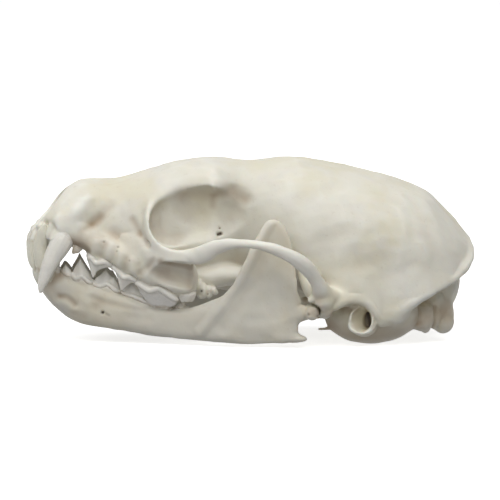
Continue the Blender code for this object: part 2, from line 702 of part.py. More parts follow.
def cranium():
    """Braincase, face, cheek arches, ear capsules and upper teeth, in one piece."""
    bone = loft("cranium", ROOF_STATIONS)
    join_or_cut(
        bone,
        [
            loft("skull_base", BASE_STATIONS),
            *both_sides([tube("upper_ridge", UPPER_RIDGE), tube("canine_root", CANINE_ROOT)]),
        ],
        "UNION",
    )
    join_or_cut(
        bone,
        [
            boss("nose_cavity", *NOSE_CAVITY),
            boss("nose_mouth", *NOSE_MOUTH),
            boss("rear_nostril", *REAR_NOSTRIL),
            *both_sides(
                [
                    boss("eye_socket", *EYE_SOCKET),
                    boss("brow_hollow", *BROW_HOLLOW),
                    boss("snout_hollow", *SNOUT_HOLLOW),
                ]
            ),
        ],
        "DIFFERENCE",
    )
    join_or_cut(
        bone,
        [
            boss("occiput_swell", *OCCIPUT_SWELL),
            tube("mid_crest", MID_CREST),
            *both_sides(
                [
                    tube("cheek_arch", CHEEK_ARCH, steps=60),
                    tube("cheek_shelf", CHEEK_SHELF),
                    tube("cheek_wall", CHEEK_WALL),
                    tube("neck_crest", NECK_CREST),
                    tube("ear_shelf", EAR_SHELF),
                    tube("pterygoid_wing", PTERYGOID_WING),
                    rod("ear_tube", EAR_TUBE),
                    *(
                        boss(name, *form)
                        for name, form in (
                            ("ear_capsule", EAR_CAPSULE),
                            ("ear_capsule_rear", EAR_CAPSULE_REAR),
                            ("mastoid", MASTOID),
                            ("paroccipital", PAROCCIPITAL),
                            ("neck_condyle", NECK_CONDYLE),
                            ("condyle_root", CONDYLE_ROOT),
                            ("socket_block", SOCKET_BLOCK),
                        )
                    ),
                ]
            ),
        ],
        "UNION",
    )
    trough = (
        ((JOINT_X, JOINT_INNER_Y - 2.0, JOINT_Z), JOINT_RADIUS + SEAM_GAP + 0.1),
        ((JOINT_X, JOINT_OUTER_Y + 2.0, JOINT_Z), JOINT_RADIUS + SEAM_GAP + 0.1),
    )
    join_or_cut(
        bone,
        [
            boss("brain_cavity", *BRAIN_CAVITY),
            tube("neck_hole", NECK_HOLE, steps=8, sides=24),
            *both_sides(
                [
                    rod("ear_opening", EAR_OPENING),
                    rod("cheek_foramen", CHEEK_FORAMEN),
                    rod("canine_notch", CANINE_NOTCH),
                    rod("joint_trough", trough),
                ]
            ),
        ],
        "DIFFERENCE",
    )
    soften(bone, BONE_VOXEL, 8, CRANIUM_FACES)
    needle = tube("style_of_ear", STYLE_OF_EAR, steps=4, sides=6)
    join_or_cut(bone, both_sides([*upper_teeth(), needle]), "UNION")
    keep_largest_shell(bone)
    return bone


def jaw_loft():
    """Body, ramus and coronoid process of one half of the lower jaw."""
    rings = []
    for step in range(LOFT_STEPS + 1):
        x, top, bottom, middle_y, half_width, power = smooth_between(
            JAW_STATIONS, step / LOFT_STEPS
        )
        middle = (top + bottom) / 2
        ring = []
        for side in range(LOFT_SIDES):
            angle = 2 * math.pi * side / LOFT_SIDES
            y = middle_y + half_width * power_part(math.cos(angle), power)
            z = middle + (top - bottom) / 2 * power_part(math.sin(angle), power)
            ring.append((x, max(y, SYMPHYSIS_Y), z))
        rings.append(ring)
    return skin_rings("jaw", rings)


def lower_jaw_half():
    """One half of the lower jaw with its teeth, on the +Y side."""
    bone = jaw_loft()
    joint_bar = (
        (JOINT_X, JOINT_INNER_Y, JOINT_Z, 0.75, 0.75),
        (JOINT_X, JOINT_INNER_Y + 1.2, JOINT_Z, JOINT_RADIUS, JOINT_RADIUS),
        (JOINT_X, JOINT_OUTER_Y - 1.2, JOINT_Z, JOINT_RADIUS, JOINT_RADIUS),
        (JOINT_X, JOINT_OUTER_Y, JOINT_Z, 0.75, 0.75),
    )
    join_or_cut(
        bone,
        [tube("jaw_neck", JAW_NECK), tube("jaw_angle", JAW_ANGLE), tube("joint_bar", joint_bar)],
        "UNION",
    )
    join_or_cut(bone, [boss("chewing_hollow", *CHEWING_HOLLOW)], "DIFFERENCE")
    soften(bone, JAW_VOXEL, 4, JAW_FACES)
    join_or_cut(bone, lower_teeth(), "UNION")
    keep_largest_shell(bone)
    return bone


def bone_material(name, colour):
    """Dry, cleaned bone with a soft sheen."""
    material = bpy.data.materials.new(name)
    material.use_nodes = True
    shader = material.node_tree.nodes["Principled BSDF"]
    shader.inputs["Base Color"].default_value = colour
    shader.inputs["Roughness"].default_value = 0.55
    shader.inputs["Metallic"].default_value = 0.0
    return material


def finish_node(obj, name, material):
    """Gives a node its name and material, and smooth shading that keeps the cusps sharp."""
    obj.name = name
    obj.data.name = name
    obj.data.materials.clear()
    obj.data.materials.append(material)
    obj.data.shade_smooth()
    obj.data.set_sharp_from_angle(angle=math.radians(50))


def set_on_floor(nodes):
    """Moves the meshes so that their common box is centred over the origin and rests on z = 0."""
    points = [vert.co for node in nodes for vert in node.data.vertices]
    low = Vector(min(p[axis] for p in points) for axis in range(3))
    high = Vector(max(p[axis] for p in points) for axis in range(3))
    shift = Vector((-(low.x + high.x) / 2, -(low.y + high.y) / 2, -low.z))
    for node in nodes:
        node.data.transform(Matrix.Translation(shift))


def main():
    """Builds the three nodes."""
    for obj in list(bpy.data.objects):
        bpy.data.objects.remove(obj)
    skull = cranium()
    right = lower_jaw_half()
    left = mirrored(right)
    cranium_bone = bone_material("cranium_bone", BONE_COLOUR)
    jaw_bone = bone_material("jaw_bone", JAW_COLOUR)
    finish_node(skull, "cranium", cranium_bone)
    finish_node(right, "lower_jaw_right", jaw_bone)
    finish_node(left, "lower_jaw_left", jaw_bone)
    set_on_floor([skull, right, left])


main()
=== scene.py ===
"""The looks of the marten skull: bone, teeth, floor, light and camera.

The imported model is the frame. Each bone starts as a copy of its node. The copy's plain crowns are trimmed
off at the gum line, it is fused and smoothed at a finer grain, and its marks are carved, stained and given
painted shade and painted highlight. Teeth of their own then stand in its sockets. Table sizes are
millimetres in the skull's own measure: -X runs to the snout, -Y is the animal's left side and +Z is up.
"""

import sys

import json
import logging
import math
from dataclasses import dataclass, field
from enum import Enum

import bmesh
import bpy
import numpy as np
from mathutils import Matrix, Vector

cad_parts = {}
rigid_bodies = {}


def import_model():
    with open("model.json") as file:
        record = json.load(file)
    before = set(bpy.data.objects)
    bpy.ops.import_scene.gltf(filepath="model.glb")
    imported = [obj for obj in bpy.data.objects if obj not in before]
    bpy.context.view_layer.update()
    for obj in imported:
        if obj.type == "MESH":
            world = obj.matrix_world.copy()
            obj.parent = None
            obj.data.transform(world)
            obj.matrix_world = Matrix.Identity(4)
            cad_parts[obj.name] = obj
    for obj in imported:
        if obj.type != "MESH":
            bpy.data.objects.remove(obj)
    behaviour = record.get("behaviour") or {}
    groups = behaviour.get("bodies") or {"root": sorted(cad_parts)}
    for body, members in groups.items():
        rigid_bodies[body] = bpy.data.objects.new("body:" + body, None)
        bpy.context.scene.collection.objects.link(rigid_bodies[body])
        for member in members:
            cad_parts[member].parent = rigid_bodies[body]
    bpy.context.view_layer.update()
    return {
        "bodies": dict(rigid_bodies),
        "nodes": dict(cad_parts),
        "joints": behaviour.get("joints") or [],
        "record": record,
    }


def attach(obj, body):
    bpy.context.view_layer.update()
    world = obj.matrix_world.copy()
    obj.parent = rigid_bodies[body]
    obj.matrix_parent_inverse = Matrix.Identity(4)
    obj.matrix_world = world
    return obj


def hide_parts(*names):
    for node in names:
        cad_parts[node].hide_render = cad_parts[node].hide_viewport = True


Point = tuple[float, float, float]
Colour = tuple[float, float, float]
Line = tuple[tuple[float, float], ...]
Table = tuple[tuple[float, ...], ...]

MM = 0.001
BODY = "root"
MEASURE_ORIGIN = Vector((0.25, 0.0, 0.489))
CRANIUM_SLOT = "cranium_bone"
JAW_SLOT = "jaw_bone"

# How directly a point has to look a mark's way, and how much more its other two coordinates weigh.
FACING_LEAST = 0.12
CROSSWISE_WEIGHT = 4.0

# The bone's unevenness: height and size in millimetres, and a fixed seed. Streaks run along the flanks.
SWELLS = (0.05, 7.0, 11)
RIPPLES = (0.028, 2.4, 12)
STREAKS = (0.07, 4.0, 13)
STREAK_AXES = ((1.0, 0.0, 0.5), (0.0, 1.0, 0.0), (-0.35, 0.0, 0.3))

log = logging.getLogger("marten_skull")


class Side(Enum):
    """A side of the animal, as the sign of its Y."""

    LEFT = -1
    RIGHT = 1

    @property
    def word(self) -> str:
        """The side's name in piece names."""
        return self.name.lower()


class Jaw(Enum):
    """A jaw, as the way that its crowns point."""

    UPPER = -1
    LOWER = 1

    @property
    def word(self) -> str:
        """The jaw's name in piece names."""
        return self.name.lower()


def in_frame(points: np.ndarray) -> np.ndarray:
    """Table points in millimetres as frame points in metres."""
    return (np.asarray(points, float) + np.array(MEASURE_ORIGIN)) * MM


def in_table(points: np.ndarray) -> np.ndarray:
    """Frame points in metres as table points in millimetres."""
    return np.asarray(points, float) / MM - np.array(MEASURE_ORIGIN)


def between(rows: np.ndarray, steps: int) -> np.ndarray:
    """Rows laid along a smooth curve through the given rows.

    Args:
        rows: The rows that the curve passes through, one of each stop.
        steps: How many rows to lay between two stops.

    Returns:
        The rows along the curve, the first and the last stop included.
    """
    rows = np.asarray(rows, float)
    padded = np.vstack([rows[:1], rows, rows[-1:]])
    laid = []
    for i in range(len(rows) - 1):
        before, start, end, after = padded[i : i + 4]
        for t in np.arange(steps) / steps:
            laid.append(
                start * (2 * t**3 - 3 * t**2 + 1)
                + (end - before) / 2 * (t**3 - 2 * t**2 + t)
                + end * (3 * t**2 - 2 * t**3)
                + (after - start) / 2 * (t**3 - t**2)
            )
    laid.append(rows[-1])
    return np.array(laid)


def ripple(points: np.ndarray, size: float, seed: int, waves: int = 26) -> np.ndarray:
    """A gentle unevenness, about one high and minus one deep.

    Args:
        points: Where to read it, in table millimetres.
        size: The usual distance between two rises.
        seed: The fixed seed of its waves.
        waves: How many waves are added up.

    Returns:
        The height at each point.
    """
    chance = np.random.default_rng(seed)
    ways = chance.normal(size=(waves, 3))
    ways /= np.linalg.norm(ways, axis=1, keepdims=True)
    lengths = size * chance.uniform(0.65, 1.7, (waves, 1))
    phases = chance.uniform(0, 2 * math.pi, waves)
    total = np.sin(points @ (ways / lengths * 2 * math.pi).T + phases).sum(axis=1)
    return total / math.sqrt(waves)


class Tree:
    """A node tree under construction, for a material or a shape."""

    def __init__(self, tree: bpy.types.NodeTree) -> None:
        """Empties the node tree that is to be filled."""
        self.tree = tree
        tree.nodes.clear()

    def add(self, kind: str, **settings: object) -> bpy.types.Node:
        """Adds a node.

        Args:
            kind: The node's type.
            settings: Its properties.

        Returns:
            The new node.
        """
        node = self.tree.nodes.new(kind)
        for name, value in settings.items():
            setattr(node, name, value)
        return node

    def join(self, source: bpy.types.NodeSocket, target: bpy.types.NodeSocket) -> None:
        """Links an output to an input."""
        self.tree.links.new(source, target)

    def settle(self, node: bpy.types.Node, constants: dict[str, object]) -> None:
        """Sets the constants of a node's inputs."""
        for name, value in constants.items():
            node.inputs[name].default_value = value

    def feed(self, target: bpy.types.NodeSocket, value: object) -> None:
        """Gives an input a link if the value is a socket, and otherwise a constant.

        Args:
            target: The input.
            value: The socket or the constant.
        """
        if isinstance(value, bpy.types.NodeSocket):
            self.join(value, target)
        else:
            target.default_value = value

    def reckon(self, operation: str, *values: object, clamp: bool = False) -> bpy.types.NodeSocket:
        """A Math node's result.

        Args:
            operation: What it reckons.
            values: Its numbers or sockets.
            clamp: Whether the result is kept between 0 and 1.

        Returns:
            The result's socket.
        """
        node = self.add("ShaderNodeMath", operation=operation, use_clamp=clamp)
        for target, value in zip(node.inputs, values):
            self.feed(target, value)
        return node.outputs[0]

    def noise(
        self, place: bpy.types.NodeSocket, size: float, detail: float, seed: float
    ) -> bpy.types.NodeSocket:
        """Clouds of a given size.

        Args:
            place: The coordinates to read.
            size: The clouds' usual size, in millimetres.
            detail: How much finer structure they have.
            seed: A shift that makes one cloud unlike another.

        Returns:
            The clouds' density, about 0.5.
        """
        shifted = self.add("ShaderNodeVectorMath", operation="ADD")
        self.join(place, shifted.inputs[0])
        shifted.inputs[1].default_value = (seed, seed * 0.37, seed * 0.71)
        node = self.add("ShaderNodeTexNoise")
        self.join(shifted.outputs[0], node.inputs["Vector"])
        self.settle(node, {"Scale": 1 / (size * MM), "Detail": detail})
        return node.outputs["Fac"]

    def spread(
        self, value: bpy.types.NodeSocket, low: float, high: float, to: tuple[float, float] = (0, 1)
    ) -> bpy.types.NodeSocket:
        """Maps a range of a value to another, and holds it there.

        Args:
            value: The value.
            low: Where the range starts.
            high: Where it ends.
            to: What the two ends become.

        Returns:
            The result's socket.
        """
        node = self.add("ShaderNodeMapRange", interpolation_type="SMOOTHSTEP")
        self.join(value, node.inputs["Value"])
        self.settle(node, {"From Min": low, "From Max": high, "To Min": to[0], "To Max": to[1]})
        return node.outputs["Result"]

    def painted(self, name: str) -> bpy.types.NodeSocket:
        """A paint of the mesh."""
        return self.add("ShaderNodeAttribute", attribute_name=name).outputs["Fac"]

    def carried(self, name: str, kind: str) -> bpy.types.NodeSocket:
        """What a shape's points carry under a name.

        Args:
            name: The name.
            kind: The values' type.

        Returns:
            The values' socket.
        """
        node = self.add("GeometryNodeInputNamedAttribute", data_type=kind)
        node.inputs["Name"].default_value = name
        return node.outputs[0]

    def mix(self, factor: object, first: object, second: object) -> bpy.types.NodeSocket:
        """Mixes two colours.

        Args:
            factor: How much of the second there is, as a number or a socket.
            first: The first colour or its socket.
            second: The second colour or its socket.

        Returns:
            The colour's socket.
        """
        node = self.add("ShaderNodeMix", data_type="RGBA")
        for target, value in zip((node.inputs[0], node.inputs[6], node.inputs[7]), (factor, first, second)):
            if isinstance(value, tuple):
                value = (*value, 1.0)
            self.feed(target, value)
        return node.outputs[2]

    def bump(self, height: bpy.types.NodeSocket, strength: float, depth: float) -> bpy.types.NodeSocket:
        """Roughens a surface.

        Args:
            height: The height of its relief.
            strength: How strongly it shows.
            depth: How deep it is, in millimetres.

        Returns:
            The surface's normal.
        """
        node = self.add("ShaderNodeBump")
        self.settle(node, {"Strength": strength, "Distance": depth * MM})
        self.join(height, node.inputs["Height"])
        return node.outputs[0]

    def shade(self, links: dict[str, bpy.types.NodeSocket], constants: dict[str, object]) -> None:
        """Ends a material's tree with its shader.

        Args:
            links: What the shader's inputs read.
            constants: The inputs that are constant.
        """
        shader = self.add("ShaderNodeBsdfPrincipled")
        for name, source in links.items():
            self.join(source, shader.inputs[name])
        self.settle(shader, constants)
        self.join(shader.outputs[0], self.add("ShaderNodeOutputMaterial").inputs["Surface"])


def new_material(name: str) -> tuple[bpy.types.Material, Tree]:
    """Makes a material.

    Args:
        name: Its name.

    Returns:
        The material and its empty tree.
    """
    material = bpy.data.materials.new(name)
    material.use_nodes = True
    return material, Tree(material.node_tree)


@dataclass(frozen=True)
class BoneFinish:
    """Dry, cleaned bone: ivory with warmer clouds, stain and painted shade in its hollows, paler wear and
    painted highlight on its edges, pores and a soft sheen.

    The sizes and the relief are millimetres.
    """

    name: str
    ivory: Colour = (0.795, 0.77, 0.68)
    warm: Colour = (0.755, 0.715, 0.575)
    cool: Colour = (0.74, 0.72, 0.67)
    # Paler wear with painted highlight, stain with painted shade, and nearly black dirt with painted shade
    # in holes.
    worn: Colour = (0.90, 0.885, 0.82)
    stain_and_shade: Colour = (0.44, 0.34, 0.235)
    dirt_and_shade: Colour = (0.06, 0.045, 0.035)
    cloud_size: float = 14.0
    patch_size: float = 5.0
    speck_size: float = 0.7
    grain_size: float = 0.45
    swell_size: float = 2.2
    pore_size: float = 1.1
    relief: float = 0.09
    seed: float = 0.0

    def make(self) -> bpy.types.Material:
        """Builds the material.

        Returns:
            The bone's material, which reads the mesh's paints: paler wear with painted highlight, stain with
            painted shade, and dirt with painted shade.
        """
        material, tree = new_material(self.name)
        place = tree.add("ShaderNodeTexCoord").outputs["Object"]
        clouds = tree.spread(tree.noise(place, self.cloud_size, 3.0, self.seed), 0.42, 0.66)
        patches = tree.spread(tree.noise(place, self.patch_size, 4.0, self.seed + 0.3), 0.48, 0.72)
        specks = tree.spread(tree.noise(place, self.speck_size, 3.0, self.seed + 0.6), 0.60, 0.78)
        colour = tree.mix(clouds, self.ivory, self.warm)
        colour = tree.mix(tree.reckon("MULTIPLY", patches, 0.5), colour, self.cool)
        colour = tree.mix(tree.reckon("MULTIPLY", specks, 0.16), colour, self.stain_and_shade)
        # Paler wear, with painted highlight on narrow edges and on broad faces that catch the light.
        colour = tree.mix(tree.reckon("MULTIPLY", tree.painted("worn"), 0.8), colour, self.worn)
        # Stain with painted shade in hollows and creases, mottled; then nearly black dirt with painted shade
        # in holes.
        mottling = tree.spread(patches, -0.4, 0.6, (0.55, 1.0))
        mottled = tree.reckon("MULTIPLY", tree.painted("stain_and_shade"), mottling, clamp=True)
        colour = tree.mix(mottled, colour, self.stain_and_shade)
        colour = tree.mix(tree.painted("dirt_and_shade"), colour, self.dirt_and_shade)
        roughness = tree.spread(tree.noise(place, 3.0, 4.0, self.seed + 0.9), 0.35, 0.65, (0.44, 0.60))

        grain = tree.noise(place, self.grain_size, 5.0, self.seed + 1.2)
        swells = tree.noise(place, self.swell_size, 2.0, self.seed + 1.5)
        pores = tree.add("ShaderNodeTexVoronoi", feature="F1")
        tree.join(place, pores.inputs["Vector"])
        pores.inputs["Scale"].default_value = 1 / (self.pore_size * MM)
        pits = tree.spread(pores.outputs["Distance"], 0.05, 0.22)
        height = tree.reckon("MULTIPLY_ADD", grain, 0.35, tree.reckon("MULTIPLY", swells, 1.2))
        height = tree.reckon("MULTIPLY_ADD", pits, 0.10, height)
        tree.shade(
            {"Base Color": colour, "Roughness": roughness, "Normal": tree.bump(height, 0.55, self.relief)},
            {
                "Specular IOR Level": 0.35,
                "Subsurface Weight": 0.18,
                "Subsurface Radius": (1.0, 0.62, 0.38),
                "Subsurface Scale": 0.9 * MM,
            },
        )
        return material


@dataclass(frozen=True)
class EnamelFinish:
    """Tooth enamel: greyish white, glassy, brown where it meets the bone, and darker grey with painted shade
    where a crown is given it.

    The sizes and the relief are millimetres.
    """

    name: str
    white: Colour = (0.85, 0.825, 0.76)
    grey: Colour = (0.775, 0.755, 0.705)
    neck: Colour = (0.47, 0.38, 0.27)
    # The darker grey of painted shade on a crown.
    painted_shade: Colour = (0.60, 0.585, 0.56)
    cloud_size: float = 2.4
    groove_size: float = 0.35
    relief: float = 0.04
    seed: float = 4.0

    def make(self) -> bpy.types.Material:
        """Builds the material.

        Returns:
            The enamel's material, which reads the mesh's `neck` stain and its painted shade.
        """
        material, tree = new_material(self.name)
        place = tree.add("ShaderNodeTexCoord").outputs["Object"]
        clouds = tree.spread(tree.noise(place, self.cloud_size, 4.0, self.seed), 0.40, 0.68)
        colour = tree.mix(clouds, self.white, self.grey)
        # Painted shade: darker grey over the part of a crown that is given it.
        colour = tree.mix(tree.painted("painted_shade"), colour, self.painted_shade)
        rough_edge = tree.spread(tree.noise(place, 0.8, 3.0, self.seed + 0.4), 0.3, 0.7, (0.35, 1.0))
        stained = tree.reckon("MULTIPLY", tree.painted("neck"), rough_edge, clamp=True)
        colour = tree.mix(stained, colour, self.neck)
        roughness = tree.spread(clouds, 0.0, 1.0, (0.24, 0.38))

        stretched = tree.add("ShaderNodeMapping")
        tree.join(place, stretched.inputs["Vector"])
        stretched.inputs["Scale"].default_value = (1.0, 1.0, 0.22)
        grooves = tree.noise(stretched.outputs[0], self.groove_size, 3.0, self.seed + 0.8)
        tree.shade(
            {"Base Color": colour, "Roughness": roughness, "Normal": tree.bump(grooves, 0.22, self.relief)},
            {
                "Specular IOR Level": 0.55,
                "Subsurface Weight": 0.22,
                "Subsurface Radius": (0.8, 0.65, 0.5),
                "Subsurface Scale": 0.6 * MM,
                "Coat Weight": 0.12,
                "Coat Roughness": 0.15,
            },
        )
        return material


@dataclass(frozen=True)
class FloorFinish:
    """A matt, pale studio floor that is lit through from below."""

    name: str = "pale_floor"
    colour: Colour = (0.90, 0.90, 0.89)
    glow: float = 0.7

    def make(self) -> bpy.types.Material:
        """Builds the material.

        Returns:
            The floor's material.
        """
        material, tree = new_material(self.name)
        place = tree.add("ShaderNodeTexCoord").outputs["Object"]
        clouds = tree.noise(place, 60.0, 2.0, 1.0)
        duller = tuple(value * 0.985 for value in self.colour)
        tree.shade(
            {"Base Color": tree.mix(clouds, self.colour, duller)},
            {
                "Roughness": 0.9,
                "Specular IOR Level": 0.1,
                "Emission Color": (1.0, 1.0, 1.0, 1.0),
                "Emission Strength": self.glow,
            },
        )
        return material


@dataclass
class Surface:
    """A bone's points in table millimetres, and what is painted on them."""

    points: np.ndarray
    normals: np.ndarray
    paint: dict[str, np.ndarray] = field(default_factory=dict)

    @classmethod
    def of(cls, mesh: bpy.types.Mesh) -> "Surface":
        """Reads a mesh.

        Args:
            mesh: The mesh, at the origin.

        Returns:
            Its points and normals.
        """
        count = len(mesh.vertices)
        places = np.empty(count * 3, np.float32)
        mesh.vertices.foreach_get("co", places)
        normals = np.empty(count * 3, np.float32)
        mesh.vertex_normals.foreach_get("vector", normals)
        return cls(in_table(places.reshape(-1, 3)), normals.reshape(-1, 3).astype(float))

    def write_points(self, mesh: bpy.types.Mesh) -> None:
        """Puts the points back into the mesh."""
        mesh.vertices.foreach_set("co", in_frame(self.points).astype(np.float32).ravel())
        mesh.update()

    def write_paint(self, mesh: bpy.types.Mesh) -> None:
        """Stores each paint as an attribute of the mesh.

        Args:
            mesh: The mesh that the points belong to.
        """
        for name, values in self.paint.items():
            layer = mesh.attributes.new(name, "FLOAT", "POINT")
            layer.data.foreach_set("value", np.clip(values, 0, 1).astype(np.float32))

    def add_paint(self, name: str, values: np.ndarray) -> None:
        """Adds to a paint, which starts at nothing."""
        self.paint[name] = self.paint.get(name, np.zeros(len(self.points))) + values

    def nearness(self, path: np.ndarray, width: float) -> np.ndarray:
        """How near each point is to a line.

        Args:
            path: The line's points.
            width: The distance at which the nearness has come down to nothing.

        Returns:
            1 on the line, 0 beyond the width, and a smooth slope between.
        """
        result = np.zeros(len(self.points))
        low = path.min(axis=0) - width
        high = path.max(axis=0) + width
        around = np.flatnonzero(((self.points > low) & (self.points < high)).all(axis=1))
        if not len(around):
            return result
        near = self.points[around]
        best = np.full(len(near), np.inf)
        for start, end in zip(path[:-1], path[1:]):
            along = end - start
            share = np.clip((near - start) @ along / max(along @ along, 1e-9), 0, 1)
            best = np.minimum(best, np.linalg.norm(near - start - share[:, None] * along, axis=1))
        share = np.clip(1 - best / width, 0, 1)
        result[around] = share * share * (3 - 2 * share)
        return result


class Facing(Enum):
    """Which way a surface looks, on the +Y side."""

    SIDE = (0.0, 1.0, 0.0)
    INNER = (0.0, -1.0, 0.0)
    TOP = (0.0, 0.0, 1.0)
    REAR = (1.0, 0.0, 0.0)


@dataclass(frozen=True)
class Mark:
    """A line or a spot on the bone: it rises or sinks, and may carry stain with painted shade, dirt with
    painted shade, and paler wear with painted highlight.

    Its stops settle on the surface that looks its way, so it is mostly their other two coordinates that
    count.
    """

    path: tuple[Point, ...]
    width: float
    height: float = 0.0
    stain_and_shade: float = 0.0
    dirt_and_shade: float = 0.0
    facing: Facing = Facing.SIDE
    paired: bool = True
    worn: float = 0.0

    def settled(self, surface: Surface, sides: tuple[Side, ...]) -> list[np.ndarray]:
        """The mark's smooth lines on the surface: one on the mid plane, or one of each side.

        Args:
            surface: The bone's surface.
            sides: The sides that the bone has.

        Returns:
            The lines.
        """
        lines = []
        for sign in (side.value for side in sides) if self.paired else (1,):
            way = np.array(self.facing.value) * (1, sign, 1)
            looking = surface.normals @ way > FACING_LEAST
            places = surface.points[looking]
            if not len(places):
                continue
            weights = CROSSWISE_WEIGHT + (1 - CROSSWISE_WEIGHT) * np.abs(way)
            stops = []
            for stop in np.array(self.path) * (1, sign, 1):
                near = places[np.argmin((((places - stop) * weights) ** 2).sum(axis=1))]
                stops.append(stop + way * ((near - stop) @ way))
            if len(stops) == 1:
                stops = stops * 2
            lines.append(between(np.array(stops), steps=4))
        return lines

    def carve(self, surface: Surface, sides: tuple[Side, ...]) -> None:
        """Moves the surface's points along their normals.

        Args:
            surface: The bone's surface.
            sides: The sides that the bone has.
        """
        if self.height:
            for line in self.settled(surface, sides):
                share = surface.nearness(line, self.width)
                surface.points += surface.normals * (share * self.height)[:, None]

    def colour(self, surface: Surface, sides: tuple[Side, ...]) -> None:
        """Paints stain with painted shade, dirt with painted shade, and paler wear with painted highlight
        onto the surface.

        Args:
            surface: The bone's surface.
            sides: The sides that the bone has.
        """
        if self.stain_and_shade or self.dirt_and_shade or self.worn:
            for line in self.settled(surface, sides):
                share = surface.nearness(line, self.width)
                # Stain with painted shade, dirt with painted shade, and paler wear with painted highlight.
                surface.add_paint("stain_and_shade", share * self.stain_and_shade)
                surface.add_paint("dirt_and_shade", share * self.dirt_and_shade)
                surface.add_paint("worn", share * self.worn)


def mesh_piece(name: str, mesh: bpy.types.Mesh) -> bpy.types.Object:
    """Puts a mesh into the scene.

    Args:
        name: The object's name.
        mesh: The mesh.

    Returns:
        The mesh's object.
    """
    piece = bpy.data.objects.new(name, mesh)
    bpy.context.scene.collection.objects.link(piece)
    return piece


def closed_mesh(name: str, points: np.ndarray, faces: list[tuple[int, ...]]) -> bpy.types.Mesh:
    """A closed mesh of table points, with its faces turned outwards.

    Args:
        name: Its name.
        points: Its points in table millimetres.
        faces: Its faces, in any turn.

    Returns:
        The mesh.
    """
    mesh = bpy.data.meshes.new(name)
    mesh.from_pydata([tuple(point) for point in in_frame(points)], [], faces)
    shape = bmesh.new()
    shape.from_mesh(mesh)
    bmesh.ops.recalc_face_normals(shape, faces=shape.faces)
    shape.to_mesh(mesh)
    shape.free()
    return mesh


def flattened(piece: bpy.types.Object) -> None:
    """Replaces a piece's mesh by what its modifiers make, and removes them.

    Args:
        piece: The piece.
    """
    bpy.context.view_layer.update()
    graph = bpy.context.evaluated_depsgraph_get()
    made = bpy.data.meshes.new_from_object(piece.evaluated_get(graph))
    piece.modifiers.clear()
    piece.data = made


def fuse(piece: bpy.types.Object, grain: float) -> None:
    """Adds a modifier that fuses a piece's bodies into one.

    Args:
        piece: The piece.
        grain: The size of its new faces, in millimetres.
    """
    modifier = piece.modifiers.new("Fuse", "REMESH")
    modifier.mode = "VOXEL"
    modifier.voxel_size = grain * MM


def smooth(piece: bpy.types.Object, factor: float, passes: int, group: str = "") -> None:
    """Adds a modifier that smooths a piece.

    Args:
        piece: The piece.
        factor: How far each pass goes.
        passes: How many passes there are.
        group: The group of points that it works on, if not all.
    """
    modifier = piece.modifiers.new("Smooth", "SMOOTH")
    modifier.factor = factor
    modifier.iterations = passes
    modifier.vertex_group = group


def dress(piece: bpy.types.Object, finish: bpy.types.Material) -> None:
    """Gives a piece its one material and smooth shading.

    Args:
        piece: The piece.
        finish: Its material.
    """
    piece.data.shade_smooth()
    piece.data.materials.clear()
    piece.data.materials.append(finish)


@dataclass(frozen=True)
class Limb:
    """A rounded body along a smooth line.

    Each stop holds x, y, z, and the half height and half thickness of the section. The thickness lies
    along Y, or along X where the line itself runs along Y.
    """

    stops: Table
    around: int = 24
    steps: int = 6
    sideways: float = 0.85

    def meshes(self, sides: tuple[Side, ...]) -> list[bpy.types.Mesh]:
        """Makes the body.

        Args:
            sides: The sides that the bone has.

        Returns:
            The body on each of those sides.
        """
        rows = between(np.array(self.stops), self.steps)
        centres, half_height, half_thickness = rows[:, :3], rows[:, 3], rows[:, 4]
        along = np.gradient(centres, axis=0)
        along /= np.linalg.norm(along, axis=1, keepdims=True)
        whole = centres[-1] - centres[0]
        turned = abs(whole[1]) > self.sideways * np.linalg.norm(whole)
        thick = np.array((1.0, 0.0, 0.0) if turned else (0.0, 1.0, 0.0))
        across = thick - along * (along @ thick)[:, None]
        across /= np.linalg.norm(across, axis=1, keepdims=True)
        rise = np.cross(across, along)
        angles = np.arange(self.around) * 2 * math.pi / self.around
        rings = (
            centres[:, None]
            + across[:, None] * (half_thickness[:, None] * np.cos(angles))[:, :, None]
            + rise[:, None] * (half_height[:, None] * np.sin(angles))[:, :, None]
        )
        count, around = len(rows), self.around
        faces = [
            (r * around + i, r * around + j, (r + 1) * around + j, (r + 1) * around + i)
            for r in range(count - 1)
            for i, j in zip(range(around), [*range(1, around), 0])
        ]
        faces += [tuple(range(around)), tuple(range((count - 1) * around, count * around))]
        points = rings.reshape(-1, 3)
        return [closed_mesh("limb", points * (1, side.value, 1), faces) for side in sides]


@dataclass(frozen=True)
class Knob:
    """A rounded boss: its centre and its radii."""

    centre: Point
    radii: Point

    def meshes(self, sides: tuple[Side, ...]) -> list[bpy.types.Mesh]:
        """Makes the boss.

        Args:
            sides: The sides that the bone has.

        Returns:
            The boss on each of those sides.
        """
        ball = bmesh.new()
        bmesh.ops.create_icosphere(ball, subdivisions=4, radius=1.0)
        points = np.array([tuple(vert.co) for vert in ball.verts]) * self.radii + self.centre
        faces = [tuple(vert.index for vert in face.verts) for face in ball.faces]
        ball.free()
        return [closed_mesh("knob", points * (1, side.value, 1), faces) for side in sides]


Form = Limb | Knob


@dataclass(frozen=True)
class Ease:
    """A region, an ellipsoid on each side, where the bone's forms run smoothly into each other."""

    centre: Point
    radii: Point
    amount: float = 0.8
    slope: float = 1.25

    def share(self, points: np.ndarray) -> np.ndarray:
        """How much each point is eased.

        Args:
            points: The bone's points in table millimetres.

        Returns:
            The full amount about the region's middle, and 0 beyond its rim.
        """
        away = (np.abs(points * (0, 1, 0)) + points * (1, 0, 1) - self.centre) / self.radii
        inside = np.clip(self.slope * (1 - np.linalg.norm(away, axis=1)), 0, 1)
        return self.amount * inside


